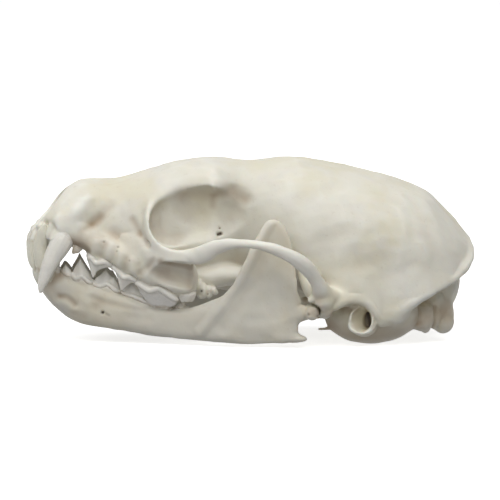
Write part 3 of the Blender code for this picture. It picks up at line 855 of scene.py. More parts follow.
@dataclass(frozen=True)
class Shelf:
    """A stretch of the bone's flank that runs straight down to an edge, without a groove above it.

    The edge holds x and z. Of the flank, what lies between it and the top counts, out to the reach and
    no nearer to the mid plane than `least`. The fill fades out towards the stretch's ends, and stays a
    little below the straight slope.
    """

    edge: Line
    top: float = 20.0
    reach: float = 17.8
    least: float = 7.0
    least_facing: float = -0.4
    fade: float = 3.0
    step: float = 0.3
    passes: int = 6
    slack: float = 0.1

    def bridged(self, heights: np.ndarray) -> np.ndarray:
        """A profile with its hollows bridged.

        Args:
            heights: How far out the flank is, from the edge up, and 0 where nothing is known.

        Returns:
            The profile's hull.
        """
        known = np.flatnonzero(heights > 0)
        if not len(known):
            return heights
        hull: list[int] = []
        for row in known:
            while len(hull) > 1:
                run = (hull[-1] - hull[-2], heights[hull[-1]] - heights[hull[-2]])
                if run[0] * (heights[row] - heights[hull[-2]]) < run[1] * (row - hull[-2]):
                    break
                hull.pop()
            hull.append(row)
        return np.interp(np.arange(len(heights)), hull, heights[hull])

    def fill(self, surface: Surface, sides: tuple[Side, ...]) -> None:
        """Moves the hollow parts of the flank out.

        Args:
            surface: The bone's surface.
            sides: The sides that the bone has.
        """
        xs, zs = np.array(self.edge).T
        columns = int((xs[-1] - xs[0]) / self.step) + 1
        rows = int((self.top - zs.min()) / self.step) + 1
        for sign in (side.value for side in sides):
            x, y, z = surface.points.T
            out = y * sign
            inside = (x > xs[0]) & (x < xs[-1]) & (z > np.interp(x, xs, zs)) & (z < self.top)
            inside &= (out > self.least) & (surface.normals[:, 1] * sign > self.least_facing)
            inside = np.flatnonzero(inside)
            column = (x[inside] - xs[0]) / self.step
            row = (z[inside] - zs.min()) / self.step
            grid = np.zeros((columns + 1, rows + 1))
            np.maximum.at(grid, (column.astype(int), row.astype(int)), np.minimum(out[inside], self.reach))
            grid = np.array([self.bridged(line) for line in grid])
            for _ in range(self.passes):
                grid[1:-1] = (grid[:-2] + 2 * grid[1:-1] + grid[2:]) / 4
            left, low = column.astype(int), row.astype(int)
            across, up = column - left - 0.5, row - low - 0.5
            beside = np.clip(left + np.sign(across).astype(int), 0, columns)
            above = np.clip(low + np.sign(up).astype(int), 0, rows)
            across, up = np.abs(across), np.abs(up)
            level = (1 - across) * ((1 - up) * grid[left, low] + up * grid[left, above])
            level += across * ((1 - up) * grid[beside, low] + up * grid[beside, above])
            near = np.minimum(x[inside] - xs[0], xs[-1] - x[inside])
            share = np.clip(near / self.fade, 0, 1) * np.clip((self.top - z[inside]) / self.fade, 0, 1)
            rise = np.maximum(level - out[inside] - self.slack, 0) * share
            surface.points[inside, 1] += sign * rise


@dataclass
class Bone:
    """A bone that is carved from a copy of its node.

    Its lengths are millimetres. Bone that stands out by more than `least_edge` of the hollow depth is a
    narrow edge, which is painted paler as wear and painted highlight. The hollows get painted shade with
    some stain.
    """

    node: str
    slot: str
    finish: BoneFinish
    gums: Line
    way: Jaw
    adds: tuple[Form, ...] = ()
    cuts: tuple[Form, ...] = ()
    shelves: tuple[Shelf, ...] = ()
    eases: tuple[Ease, ...] = ()
    marks: tuple[Mark, ...] = ()
    sides: tuple[Side, ...] = (Side.LEFT, Side.RIGHT)
    rounding: int = 2
    trim_depth: float = 30.0
    trim_half_width: float = 17.0
    grain: float = 0.21
    quick_grain: float = 0.42
    smoothing: int = 5
    quick_smoothing: int = 2
    ease_levels: int = 12
    ease_passes: int = 120
    quick_ease_passes: int = 30
    skin: float = 0.04
    most_triangles: int = 190000
    hollow_passes: int = 40
    hollow_depth: float = 0.3
    # Stain and painted shade in the hollows.
    hollow_stain: float = 0.35
    least_edge: float = 0.3

    def copied(self, frame: dict) -> bpy.types.Object:
        """Copies the node, with its loose triangles merged and rounded.

        Args:
            frame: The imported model.

        Returns:
            The copy.
        """
        shape = bmesh.new()
        shape.from_mesh(frame["nodes"][self.node].data)
        bmesh.ops.remove_doubles(shape, verts=shape.verts, dist=1e-6)
        mesh = bpy.data.meshes.new(self.node + "_carved")
        shape.to_mesh(mesh)
        shape.free()
        piece = mesh_piece(self.node + "_carved", mesh)
        rounder = piece.modifiers.new("Rounder", "SUBSURF")
        rounder.levels = rounder.render_levels = self.rounding
        return piece

    def trimmer(self) -> bpy.types.Mesh:
        """Makes a block that holds the crowns.

        Returns:
            The block, which runs across the skull and has one face along the gum line.
        """
        far = self.trim_depth * self.way.value
        profile = [*self.gums, (self.gums[-1][0], far), (self.gums[0][0], far)]
        points = [(x, y, z) for y in (-self.trim_half_width, self.trim_half_width) for x, z in profile]
        count = len(profile)
        faces = [tuple(range(count)), tuple(reversed(range(count, 2 * count)))]
        faces += [(i, (i + 1) % count, (i + 1) % count + count, i + count) for i in range(count)]
        return closed_mesh("trimmer", points, faces)

    def joined(self, piece: bpy.types.Object, meshes: list[bpy.types.Mesh], operation: str) -> None:
        """Joins closed meshes to the bone or cuts them from it.

        Args:
            piece: The bone.
            meshes: The other bodies.
            operation: UNION or DIFFERENCE.
        """
        if not meshes:
            return
        group = bpy.data.collections.new(operation.lower())
        bpy.context.scene.collection.children.link(group)
        others = [bpy.data.objects.new(mesh.name, mesh) for mesh in meshes]
        for other in others:
            group.objects.link(other)
        join = piece.modifiers.new(operation, "BOOLEAN")
        join.operation = operation
        join.operand_type = "COLLECTION"
        join.collection = group
        join.solver = "MANIFOLD"
        flattened(piece)
        for other in others:
            bpy.data.objects.remove(other)
        bpy.data.collections.remove(group)

    def refine(self, piece: bpy.types.Object) -> None:
        """Adds and cuts the bone's finer forms, takes the plain crowns off, and fuses it all.

        Args:
            piece: The bone.
        """
        self.joined(piece, [mesh for form in self.adds for mesh in form.meshes(self.sides)], "UNION")
        cutters = [mesh for form in self.cuts for mesh in form.meshes(self.sides)]
        self.joined(piece, [self.trimmer(), *cutters], "DIFFERENCE")
        fuse(piece, self.grain)
        smooth(piece, factor=0.5, passes=self.smoothing)
        flattened(piece)

    def ease(self, piece: bpy.types.Object) -> None:
        """Fills the grooves over the shelves and softens the folds where forms meet.

        Args:
            piece: The bone.
        """
        surface = Surface.of(piece.data)
        for shelf in self.shelves:
            shelf.fill(surface, self.sides)
        surface.write_points(piece.data)
        share = np.max([ease.share(surface.points) for ease in self.eases], axis=0)
        group = piece.vertex_groups.new(name="eased")
        levels = np.round(share * self.ease_levels).astype(int)
        for level in range(1, self.ease_levels + 1):
            group.add(np.flatnonzero(levels == level).tolist(), level / self.ease_levels, "REPLACE")
        passes = self.ease_passes
        smooth(piece, factor=1.0, passes=passes, group=group.name)
        flattened(piece)
        piece.vertex_groups.clear()

    def carve(self, piece: bpy.types.Object) -> None:
        """Gives the bone its unevenness and its marks.

        Args:
            piece: The bone.
        """
        surface = Surface.of(piece.data)
        uneven = np.zeros(len(surface.points))
        for height, size, seed in (SWELLS, RIPPLES):
            uneven += height * ripple(surface.points, size, seed)
        height, size, seed = STREAKS
        drawn_out = surface.points @ np.array(STREAK_AXES)
        uneven += height * np.abs(surface.normals[:, 1]) * ripple(drawn_out, size, seed)
        surface.points += surface.normals * (self.skin + uneven)[:, None]
        for mark in self.marks:
            mark.carve(surface, self.sides)
        surface.write_points(piece.data)

    def thin_out(self, piece: bpy.types.Object) -> None:
        """Keeps the count of triangles within its limit, where the surface is flattest.

        Args:
            piece: The bone.
        """
        count = sum(len(face.vertices) - 2 for face in piece.data.polygons)
        log.info("%s: %d triangles before it is thinned out", piece.name, count)
        if count > self.most_triangles:
            fewer = piece.modifiers.new("Fewer", "DECIMATE")
            fewer.ratio = self.most_triangles / count
            flattened(piece)

    def hollows(self, piece: bpy.types.Object, surface: Surface) -> np.ndarray:
        """How deep each point lies in a hollow a few millimetres wide, or how far it stands out.

        Args:
            piece: The bone.
            surface: Its points.

        Returns:
            0 on open bone, up to 1 in a deep hollow and down to -1 on a narrow edge.
        """
        softened = piece.copy()
        softened.data = piece.data.copy()
        bpy.context.scene.collection.objects.link(softened)
        smooth(softened, factor=1.0, passes=self.hollow_passes)
        flattened(softened)
        depth = ((Surface.of(softened.data).points - surface.points) * surface.normals).sum(axis=1)
        bpy.data.objects.remove(softened)
        return np.clip(depth / self.hollow_depth, -1, 1)

    def stain_and_shade(self, piece: bpy.types.Object) -> None:
        """Paints the hollows with stain and painted shade, the narrow edges with paler wear and painted
        highlight, and the marks.

        Args:
            piece: The bone.
        """
        surface = Surface.of(piece.data)
        hollows = self.hollows(piece, surface)
        # Painted shade, with some stain, in the hollows; paler wear with painted highlight on the narrow
        # edges.
        surface.add_paint("stain_and_shade", self.hollow_stain * np.maximum(hollows, 0))
        surface.add_paint("worn", np.maximum(-hollows - self.least_edge, 0))
        surface.add_paint("dirt_and_shade", np.zeros(len(surface.points)))
        for mark in self.marks:
            mark.colour(surface, self.sides)
        surface.write_paint(piece.data)

    def build(self, frame: dict) -> bpy.types.Object:
        """Makes the bone and lets it stand for its node.

        Args:
            frame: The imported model.

        Returns:
            The bone's piece.
        """
        piece = self.copied(frame)
        self.refine(piece)
        self.ease(piece)
        self.carve(piece)
        self.thin_out(piece)
        self.stain_and_shade(piece)
        dress(piece, self.finish.make())
        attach(piece, BODY)
        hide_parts(self.node)
        return piece


# A bead's rings, the width that is left at its tip, the depth of its lower half, and a dome's taper.
BEAD_RINGS = 10
BEAD_TIP = 0.001
BEAD_ROOT = 0.45
DOME_TAPER = 0.5


class Bead(Enum):
    """The form that is strung along a tooth's lines."""

    CUSP = 0
    DOME = 1


@dataclass
class Strand:
    """A line of a tooth, with the size of its beads at each stop.

    A standing strand's beads stay upright, and their first size lies along the line. The beads of any
    other strand turn with the line, which runs towards +Z or along the row.
    """

    stops: np.ndarray
    sizes: np.ndarray
    bead: Bead = Bead.CUSP
    standing: bool = True


class CrownTree:
    """The shape tree of every tooth: beads strung along its strands, which a remesh then fuses."""

    def __init__(self) -> None:
        """Builds the tree."""
        self.group = bpy.data.node_groups.new("crown", "GeometryNodeTree")
        self.group.is_modifier = True
        face = self.group.interface
        face.new_socket("Strands", in_out="INPUT", socket_type="NodeSocketGeometry")
        self.sockets = {}
        for name, kind in (
            ("Spacing", "NodeSocketFloat"),
            ("Taper", "NodeSocketFloat"),
            ("Segments", "NodeSocketInt"),
            ("Finish", "NodeSocketMaterial"),
        ):
            self.sockets[name] = face.new_socket(name, in_out="INPUT", socket_type=kind).identifier
        face.new_socket("Crown", in_out="OUTPUT", socket_type="NodeSocketGeometry")
        self.fill()

    def bead(self, tree: Tree, given: bpy.types.Node, taper: object) -> bpy.types.NodeSocket:
        """A unit bead whose upper half runs to a point.

        Args:
            tree: The tree.
            given: The group's input node.
            taper: How fast it narrows: DOME_TAPER is a dome and 1 a straight cone.

        Returns:
            The bead's geometry.
        """
        ball = tree.add("GeometryNodeMeshUVSphere")
        tree.join(given.outputs["Segments"], ball.inputs["Segments"])
        ball.inputs["Rings"].default_value = BEAD_RINGS
        place = tree.add("GeometryNodeInputPosition").outputs[0]
        parts = tree.add("ShaderNodeSeparateXYZ")
        tree.join(place, parts.inputs[0])
        rise = tree.reckon("MAXIMUM", parts.outputs["Z"], 0.0)
        left = tree.reckon("MAXIMUM", tree.reckon("SUBTRACT", 1.0, rise), BEAD_TIP)
        narrow = tree.reckon("POWER", left, tree.reckon("SUBTRACT", taper, DOME_TAPER))
        wide = tree.reckon("POWER", tree.reckon("ADD", 1.0, rise), -0.5)
        share = tree.reckon("MULTIPLY", narrow, wide)
        moved = tree.add("ShaderNodeCombineXYZ")
        tree.join(tree.reckon("MULTIPLY", parts.outputs["X"], share), moved.inputs["X"])
        tree.join(tree.reckon("MULTIPLY", parts.outputs["Y"], share), moved.inputs["Y"])
        root = tree.reckon("MULTIPLY", tree.reckon("MINIMUM", parts.outputs["Z"], 0.0), BEAD_ROOT)
        tree.join(tree.reckon("ADD", rise, root), moved.inputs["Z"])
        shaped = tree.add("GeometryNodeSetPosition")
        tree.join(ball.outputs["Mesh"], shaped.inputs["Geometry"])
        tree.join(moved.outputs[0], shaped.inputs["Position"])
        return shaped.outputs[0]

    def fill(self) -> None:
        """Lays the tree's nodes."""
        tree = Tree(self.group)
        given = tree.add("NodeGroupInput")
        line = tree.add("GeometryNodeMeshToCurve")
        tree.join(given.outputs["Strands"], line.inputs["Mesh"])
        laid = tree.add("GeometryNodeResampleCurve", mode="LENGTH")
        tree.join(line.outputs[0], laid.inputs["Curve"])
        tree.join(given.outputs["Spacing"], laid.inputs["Length"])
        beads = tree.add("GeometryNodeGeometryToInstance")
        tree.join(self.bead(tree, given, DOME_TAPER), beads.inputs[0])
        tree.join(self.bead(tree, given, given.outputs["Taper"]), beads.inputs[0])
        along = tree.add("GeometryNodeInputTangent")
        level = tree.add("ShaderNodeVectorMath", operation="MULTIPLY")
        tree.join(along.outputs[0], level.inputs[0])
        level.inputs[1].default_value = (1.0, 1.0, 0.0)
        upright = tree.add("FunctionNodeAlignRotationToVector", axis="X", pivot_axis="Z")
        tree.join(level.outputs[0], upright.inputs["Vector"])
        turned = tree.add("FunctionNodeAlignRotationToVector", axis="Z")
        tree.join(along.outputs[0], turned.inputs["Vector"])
        turn = tree.add("GeometryNodeSwitch", input_type="ROTATION")
        tree.join(tree.carried("standing", "BOOLEAN"), turn.inputs["Switch"])
        tree.join(turned.outputs[0], turn.inputs["False"])
        tree.join(upright.outputs[0], turn.inputs["True"])
        strung = tree.add("GeometryNodeInstanceOnPoints")
        tree.join(laid.outputs[0], strung.inputs["Points"])
        tree.join(beads.outputs[0], strung.inputs["Instance"])
        strung.inputs["Pick Instance"].default_value = True
        tree.join(tree.carried("bead", "INT"), strung.inputs["Instance Index"])
        tree.join(turn.outputs[0], strung.inputs["Rotation"])
        tree.join(tree.carried("size", "FLOAT_VECTOR"), strung.inputs["Scale"])
        real = tree.add("GeometryNodeRealizeInstances")
        tree.join(strung.outputs[0], real.inputs[0])
        dressed = tree.add("GeometryNodeSetMaterial")
        tree.join(real.outputs[0], dressed.inputs["Geometry"])
        tree.join(given.outputs["Finish"], dressed.inputs["Material"])
        made = tree.add("NodeGroupOutput")
        tree.join(dressed.outputs[0], made.inputs[0])


@dataclass
class Tooth:
    """One tooth: its strands, the jaw it stands in and where its gum line runs.

    Its neck is stained up to `neck_height` over the gum. Painted shade darkens the crown from `dull_from`
    over the gum and is at its fullest `dull_rise` further on. Lengths are millimetres.
    """

    name: str
    jaw: Jaw
    side: Side
    strands: list[Strand]
    gums: Line
    neck: float
    painted_shade: float
    neck_height: float = 0.7
    neck_fade: float = 1.5
    dull_from: float = 0.8
    dull_rise: float = 1.6
    spacing: float = 0.18
    taper: float = 0.8
    segments: int = 16
    grain: float = 0.095
    quick_grain: float = 0.152
    smoothing: int = 4

    def line_mesh(self) -> bpy.types.Mesh:
        """Makes the strands as a mesh of edges.

        Returns:
            The mesh, whose points carry the beads' sizes, forms and whether they stand upright.
        """
        points, edges, sizes, beads, standing = [], [], [], [], []
        for strand in self.strands:
            first = len(points)
            count = len(strand.stops)
            points += list(strand.stops * (1, self.side.value, 1))
            edges += [(first + i, first + i + 1) for i in range(count - 1)]
            sizes += list(strand.sizes * MM)
            beads += [strand.bead.value] * count
            standing += [strand.standing] * count
        mesh = bpy.data.meshes.new(self.name)
        mesh.from_pydata([tuple(p) for p in in_frame(points)], edges, [])
        mesh.attributes.new("size", "FLOAT_VECTOR", "POINT").data.foreach_set(
            "vector", np.array(sizes, np.float32).ravel()
        )
        mesh.attributes.new("bead", "INT", "POINT").data.foreach_set("value", beads)
        mesh.attributes.new("standing", "BOOLEAN", "POINT").data.foreach_set("value", standing)
        return mesh

    def build(self, tree: CrownTree, finish: bpy.types.Material) -> bpy.types.Object:
        """Strings, fuses and stains the tooth, and paints shade on its crown where it is given some.

        Args:
            tree: The shape tree of the teeth.
            finish: The enamel.

        Returns:
            The tooth's piece.
        """
        piece = mesh_piece(self.name, self.line_mesh())
        shape = piece.modifiers.new("Crown", "NODES")
        shape.node_group = tree.group
        shape[tree.sockets["Spacing"]] = self.spacing * MM
        shape[tree.sockets["Taper"]] = self.taper
        shape[tree.sockets["Segments"]] = self.segments
        shape[tree.sockets["Finish"]] = finish
        fuse(piece, self.grain)
        smooth(piece, factor=0.5, passes=self.smoothing)
        flattened(piece)
        surface = Surface.of(piece.data)
        xs, zs = np.array(self.gums).T
        rise = (surface.points[:, 2] - np.interp(surface.points[:, 0], xs, zs)) * self.jaw.value
        neck = np.clip(1 - rise / self.neck_height, 0, 1) ** self.neck_fade
        surface.add_paint("neck", self.neck * neck)
        # Painted shade, darker away from the gum, on the teeth that are given it.
        surface.add_paint("painted_shade", self.painted_shade * np.clip((rise - self.dull_from) / self.dull_rise, 0, 1))
        surface.write_paint(piece.data)
        dress(piece, finish)
        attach(piece, BODY)
        return piece


# The gum lines: x and z along each jaw, from the front to behind the last tooth.
UPPER_GUMS = (
    (-46.0, 19.1), (-40.8, 19.1), (-39.6, 19.6), (-36.6, 19.8), (-35.2, 18.9), (-33.6, 18.3),
    (-32.2, 17.4), (-31.2, 16.8), (-30.1, 15.8), (-28.9, 16.0), (-28.0, 16.0), (-27.1, 15.2),
    (-25.6, 14.0), (-24.6, 13.2), (-23.4, 13.2), (-22.4, 12.5), (-21.3, 11.7), (-19.8, 10.9),
    (-18.4, 11.3), (-17.0, 10.8), (-15.6, 9.8), (-14.6, 9.2), (-12.9, 9.7), (-11.2, 10.1),
)
LOWER_GUMS = (
    (-46.0, 13.8), (-39.6, 14.0), (-37.4, 13.6), (-35.2, 12.4), (-34.1, 11.5), (-32.9, 11.9),
    (-31.3, 10.8), (-30.4, 10.5), (-29.4, 10.2), (-28.1, 10.6), (-26.8, 9.7), (-25.4, 9.1),
    (-23.4, 8.4), (-19.6, 6.9), (-15.4, 6.6), (-12.2, 7.0),
)
CANINE_GUMS = ((-38.6, 21.3), (-37.2, 21.7), (-35.9, 20.6), (-34.6, 18.8))
# The small first premolar's gum line runs along its tip, so nearly all of it is painted dark with dirt and
# painted shade.
STUB_GUMS = ((-36.0, 17.2), (-32.0, 17.2))

# Middle of the tooth rows in plan: y = first + slope * (x - start).
UPPER_ROW = (-29.4, 8.15, 0.25)
LOWER_ROW = (-33.0, 5.5, 0.222)

# Blades along a row: x, gum, biting edge and half width. Then the rim round the base: x, z and radius.
UPPER_BLADES = {
    "premolar_2": (
        (
            (-31.9, 16.6, 15.4, 0.35), (-31.5, 16.8, 14.0, 0.7), (-31.2, 16.8, 12.8, 0.82),
            (-30.9, 16.5, 12.15, 0.86), (-30.5, 16.0, 12.7, 0.88), (-30.0, 15.7, 13.6, 0.9),
            (-28.8, 15.9, 14.1, 0.92), (-28.1, 16.0, 14.3, 0.9), (-27.6, 15.7, 14.2, 0.8),
            (-27.2, 15.2, 14.3, 0.5),
        ),
        (
            (-31.7, 16.0, 0.30), (-31.2, 16.35, 0.36), (-30.7, 15.8, 0.36), (-30.1, 15.2, 0.38),
            (-29.2, 15.4, 0.42), (-28.2, 15.5, 0.44), (-27.6, 15.1, 0.40), (-27.2, 14.7, 0.30),
        ),
    ),
    "premolar_3": (
        (
            (-27.2, 15.0, 14.5, 0.3), (-26.8, 14.9, 13.9, 0.7), (-26.4, 14.6, 12.9, 0.9),
            (-26.0, 14.2, 11.6, 1.0), (-25.6, 13.9, 9.9, 1.05), (-25.1, 13.5, 10.1, 1.08),
            (-24.3, 13.2, 10.9, 1.1), (-23.4, 13.2, 11.4, 1.08), (-22.8, 12.8, 11.4, 0.95),
            (-22.3, 12.4, 11.6, 0.6),
        ),
        (
            (-27.2, 14.3, 0.28), (-26.7, 14.4, 0.38), (-26.0, 13.8, 0.38), (-25.5, 13.3, 0.38),
            (-24.8, 12.6, 0.42), (-23.9, 12.7, 0.46), (-23.1, 12.5, 0.46), (-22.5, 12.0, 0.38),
            (-22.3, 11.7, 0.28),
        ),
    ),
    "carnassial": (
        (
            (-22.6, 12.4, 11.6, 0.4), (-22.3, 12.3, 10.4, 0.8), (-21.8, 12.0, 9.4, 1.0),
            (-20.9, 11.4, 8.2, 1.2), (-20.2, 11.0, 7.5, 1.25), (-19.6, 10.9, 7.1, 1.25),
            (-18.8, 11.1, 7.0, 1.2), (-18.2, 11.2, 7.05, 1.1), (-17.7, 11.0, 7.05, 1.0),
            (-17.2, 10.8, 7.1, 1.0), (-16.6, 10.4, 6.95, 1.02), (-15.8, 9.9, 7.0, 0.98),
            (-15.1, 9.5, 7.4, 0.85), (-14.75, 9.2, 8.0, 0.5),
        ),
        (
            (-22.6, 11.6, 0.34), (-22.0, 11.4, 0.44), (-21.2, 11.0, 0.46), (-20.5, 10.5, 0.46),
            (-19.8, 10.2, 0.46), (-19.1, 10.4, 0.48), (-18.4, 10.6, 0.50), (-17.7, 10.5, 0.52),
            (-17.0, 10.1, 0.54), (-16.2, 9.5, 0.54), (-15.4, 8.9, 0.50), (-14.85, 8.5, 0.38),
        ),
    ),
}
LOWER_BLADES = {
    "premolar_2": (
        (
            (-36.8, 13.4, 13.7, 0.3), (-36.3, 13.2, 14.6, 0.7), (-35.8, 13.0, 14.4, 0.82),
            (-35.2, 12.6, 13.7, 0.75), (-34.8, 12.3, 13.1, 0.35),
        ),
        ((-36.7, 13.3, 0.24), (-36.0, 12.8, 0.30), (-35.4, 12.5, 0.30), (-35.0, 12.6, 0.24)),
    ),
    "premolar_3": (
        (
            (-35.0, 12.3, 12.9, 0.3), (-34.6, 11.9, 13.8, 0.7), (-33.8, 11.7, 15.2, 0.86),
            (-33.3, 11.9, 16.1, 0.9), (-32.8, 12.0, 15.2, 0.92), (-32.0, 11.5, 13.8, 0.92),
            (-31.4, 11.1, 12.8, 0.85), (-30.95, 11.0, 12.0, 0.4),
        ),
        (
            (-34.9, 12.9, 0.26), (-34.6, 12.3, 0.36), (-34.1, 12.0, 0.40), (-33.5, 12.2, 0.38),
            (-32.9, 12.5, 0.36), (-32.3, 12.1, 0.38), (-31.6, 11.4, 0.42), (-31.1, 11.3, 0.36),
            (-30.9, 11.6, 0.26),
        ),
    ),
    "premolar_4": (
        (
            (-30.8, 10.7, 11.4, 0.3), (-30.4, 10.5, 12.1, 0.75), (-29.3, 10.3, 13.0, 0.95),
            (-28.5, 10.5, 13.8, 1.0), (-28.0, 10.6, 13.4, 1.0), (-27.3, 10.2, 12.5, 1.0),
            (-26.8, 9.85, 12.4, 1.0), (-26.3, 9.6, 11.6, 0.98), (-25.8, 9.3, 10.6, 0.8),
            (-25.5, 9.2, 9.9, 0.4),
        ),
        (
            (-30.7, 11.2, 0.28), (-30.2, 10.8, 0.40), (-29.4, 10.6, 0.42), (-28.7, 10.8, 0.40),
            (-28.1, 11.1, 0.38), (-27.4, 10.7, 0.40), (-26.7, 10.1, 0.44), (-26.1, 9.7, 0.42),
            (-25.6, 9.6, 0.30),
        ),
    ),
    "carnassial": (
        (
            (-25.3, 9.1, 9.9, 0.4), (-24.8, 8.9, 10.8, 0.85), (-23.9, 8.6, 11.3, 1.0),
            (-23.1, 8.4, 11.6, 1.05), (-22.3, 8.1, 10.9, 1.05), (-21.8, 7.9, 10.5, 1.05),
            (-21.2, 7.6, 11.0, 1.1), (-20.5, 7.3, 11.7, 1.15), (-19.8, 7.0, 10.6, 1.2),
            (-18.9, 6.8, 8.8, 1.25), (-17.6, 6.7, 8.4, 1.25), (-16.5, 6.6, 8.2, 1.1),
            (-15.7, 6.6, 7.4, 0.6),
        ),
        (
            (-25.2, 9.5, 0.28), (-24.6, 9.2, 0.36), (-23.4, 8.9, 0.40), (-22.0, 8.4, 0.40),
            (-20.6, 7.8, 0.40), (-19.2, 7.4, 0.40), (-17.6, 7.2, 0.38), (-16.2, 7.1, 0.34),
            (-15.7, 7.1, 0.26),
        ),
    ),
}

# How much fuller each jaw's rims are than their tables say, how far they lie inside the blade's flank,
# the blade's least height, and half the length of its beads.
RIM_SWELL = {Jaw.UPPER: 1.35, Jaw.LOWER: 1.22}
RIM_INSET = 0.25
LEAST_BLADE = 0.25
BLADE_BEAD = 0.3

# Half the thickness of a peg's beads: at most this, and at most this share of their half width.
PEG_BEAD = 0.3
PEG_BEAD_SHARE = 0.8

# Half the length of the short line that a lobe stands on.
LOBE_LINE = 0.05

# The upper molar's body, which lies across the row: y, gum, height and half length.
UPPER_MOLAR_X = -12.9
UPPER_MOLAR_BEAD = 0.45
UPPER_MOLAR = (
    (12.9, 9.4, 0.8, 1.2), (12.3, 9.5, 1.6, 1.75), (11.0, 9.7, 1.5, 1.75), (9.4, 10.1, 1.2, 1.4),
    (7.9, 10.3, 1.5, 1.9), (6.5, 10.4, 1.6, 2.2), (5.6, 10.5, 1.1, 1.7),
)

# The canines and incisors of one side: x, y, z and the half length and half width of the section.
UPPER_CANINE = (
    (-41.05, 8.25, 9.55, 0.28, 0.26), (-40.95, 8.25, 10.1, 0.58, 0.52), (-40.65, 8.2, 11.3, 0.94, 0.86),
    (-40.15, 8.1, 12.6, 1.2, 1.05), (-39.5, 7.95, 14.4, 1.5, 1.26), (-38.45, 7.7, 16.6, 1.84, 1.44),
    (-37.3, 7.4, 18.5, 2.14, 1.64), (-36.5, 7.1, 20.0, 2.2, 1.74), (-35.9, 6.5, 21.4, 1.8, 1.5),
    (-35.2, 5.8, 22.8, 1.2, 1.0),
)
LOWER_CANINE = (
    (-38.4, 4.2, 10.4, 1.4, 1.0), (-39.5, 4.5, 12.6, 1.78, 1.3), (-40.5, 4.8, 15.2, 1.72, 1.2),
    (-40.95, 5.2, 18.0, 1.5, 1.0), (-40.8, 5.5, 19.6, 1.36, 0.9), (-40.55, 5.7, 21.0, 1.1, 0.76),
    (-40.3, 5.85, 22.1, 0.66, 0.5), (-40.2, 5.9, 22.7, 0.26, 0.24),
)
UPPER_PEGS = {
    "incisor_1": (
        (-42.7, 0.95, 14.1, 0.28, 0.6), (-43.0, 0.95, 15.4, 0.52, 0.8), (-43.1, 0.95, 17.6, 0.66, 0.84),
        (-42.8, 0.95, 19.4, 0.78, 0.74), (-41.4, 0.95, 21.0, 0.6, 0.5),
    ),
    "incisor_2": (
        (-42.5, 2.45, 13.9, 0.3, 0.56), (-42.85, 2.45, 15.2, 0.58, 0.82), (-42.95, 2.4, 17.6, 0.76, 0.88),
        (-42.6, 2.35, 19.4, 0.88, 0.8), (-41.0, 2.2, 21.0, 0.7, 0.5),
    ),
    "incisor_3": (
        (-41.9, 3.75, 13.4, 0.36, 0.4), (-42.25, 3.8, 14.8, 0.78, 0.66), (-42.4, 3.75, 17.2, 1.0, 0.84),
        (-42.1, 3.7, 19.6, 1.14, 0.9), (-41.2, 3.5, 21.4, 1.0, 0.7),
    ),
    "premolar_1": (
        (-34.75, 7.3, 16.95, 0.2, 0.2), (-34.5, 7.3, 17.35, 0.55, 0.42), (-34.0, 7.3, 17.9, 1.05, 0.6),
        (-33.7, 7.2, 18.7, 1.25, 0.65), (-33.7, 7.1, 19.4, 0.9, 0.5),
    ),
}
LOWER_PEGS = {
    "incisor_1": (
        (-41.6, 0.75, 12.2, 0.5, 0.5), (-41.65, 0.75, 13.6, 0.62, 0.6), (-41.6, 0.75, 15.0, 0.44, 0.6),
        (-41.5, 0.75, 15.7, 0.2, 0.5),
    ),
    "incisor_2": (
        (-41.4, 1.9, 12.2, 0.52, 0.5), (-41.55, 1.9, 13.6, 0.66, 0.6), (-41.5, 1.9, 15.1, 0.46, 0.58),
        (-41.4, 1.9, 15.8, 0.2, 0.48),
    ),
    "incisor_3": (
        (-41.2, 3.0, 12.2, 0.54, 0.5), (-41.35, 3.0, 13.6, 0.68, 0.58), (-41.3, 3.0, 15.1, 0.48, 0.56),
        (-41.25, 3.05, 15.7, 0.22, 0.42),
    ),
    "premolar_1": (
        (-37.8, 4.9, 13.0, 0.6, 0.5), (-37.8, 4.9, 13.9, 0.7, 0.62), (-37.85, 4.9, 14.4, 0.52, 0.46),
        (-37.9, 4.9, 14.75, 0.2, 0.2),
    ),
}


# How strongly the teeth's necks are stained, and how much painted shade darkens the upper carnassial's
# crown.
NECK_UPPER = 0.35
NECK_LOWER = 0.75
NECK_UPPER_CANINE = 0.3
# The small first premolar is dark all over: dirt and painted shade.
NECK_STUB_DIRT_AND_SHADE = 1.0
CARNASSIAL_PAINTED_SHADE = 0.75


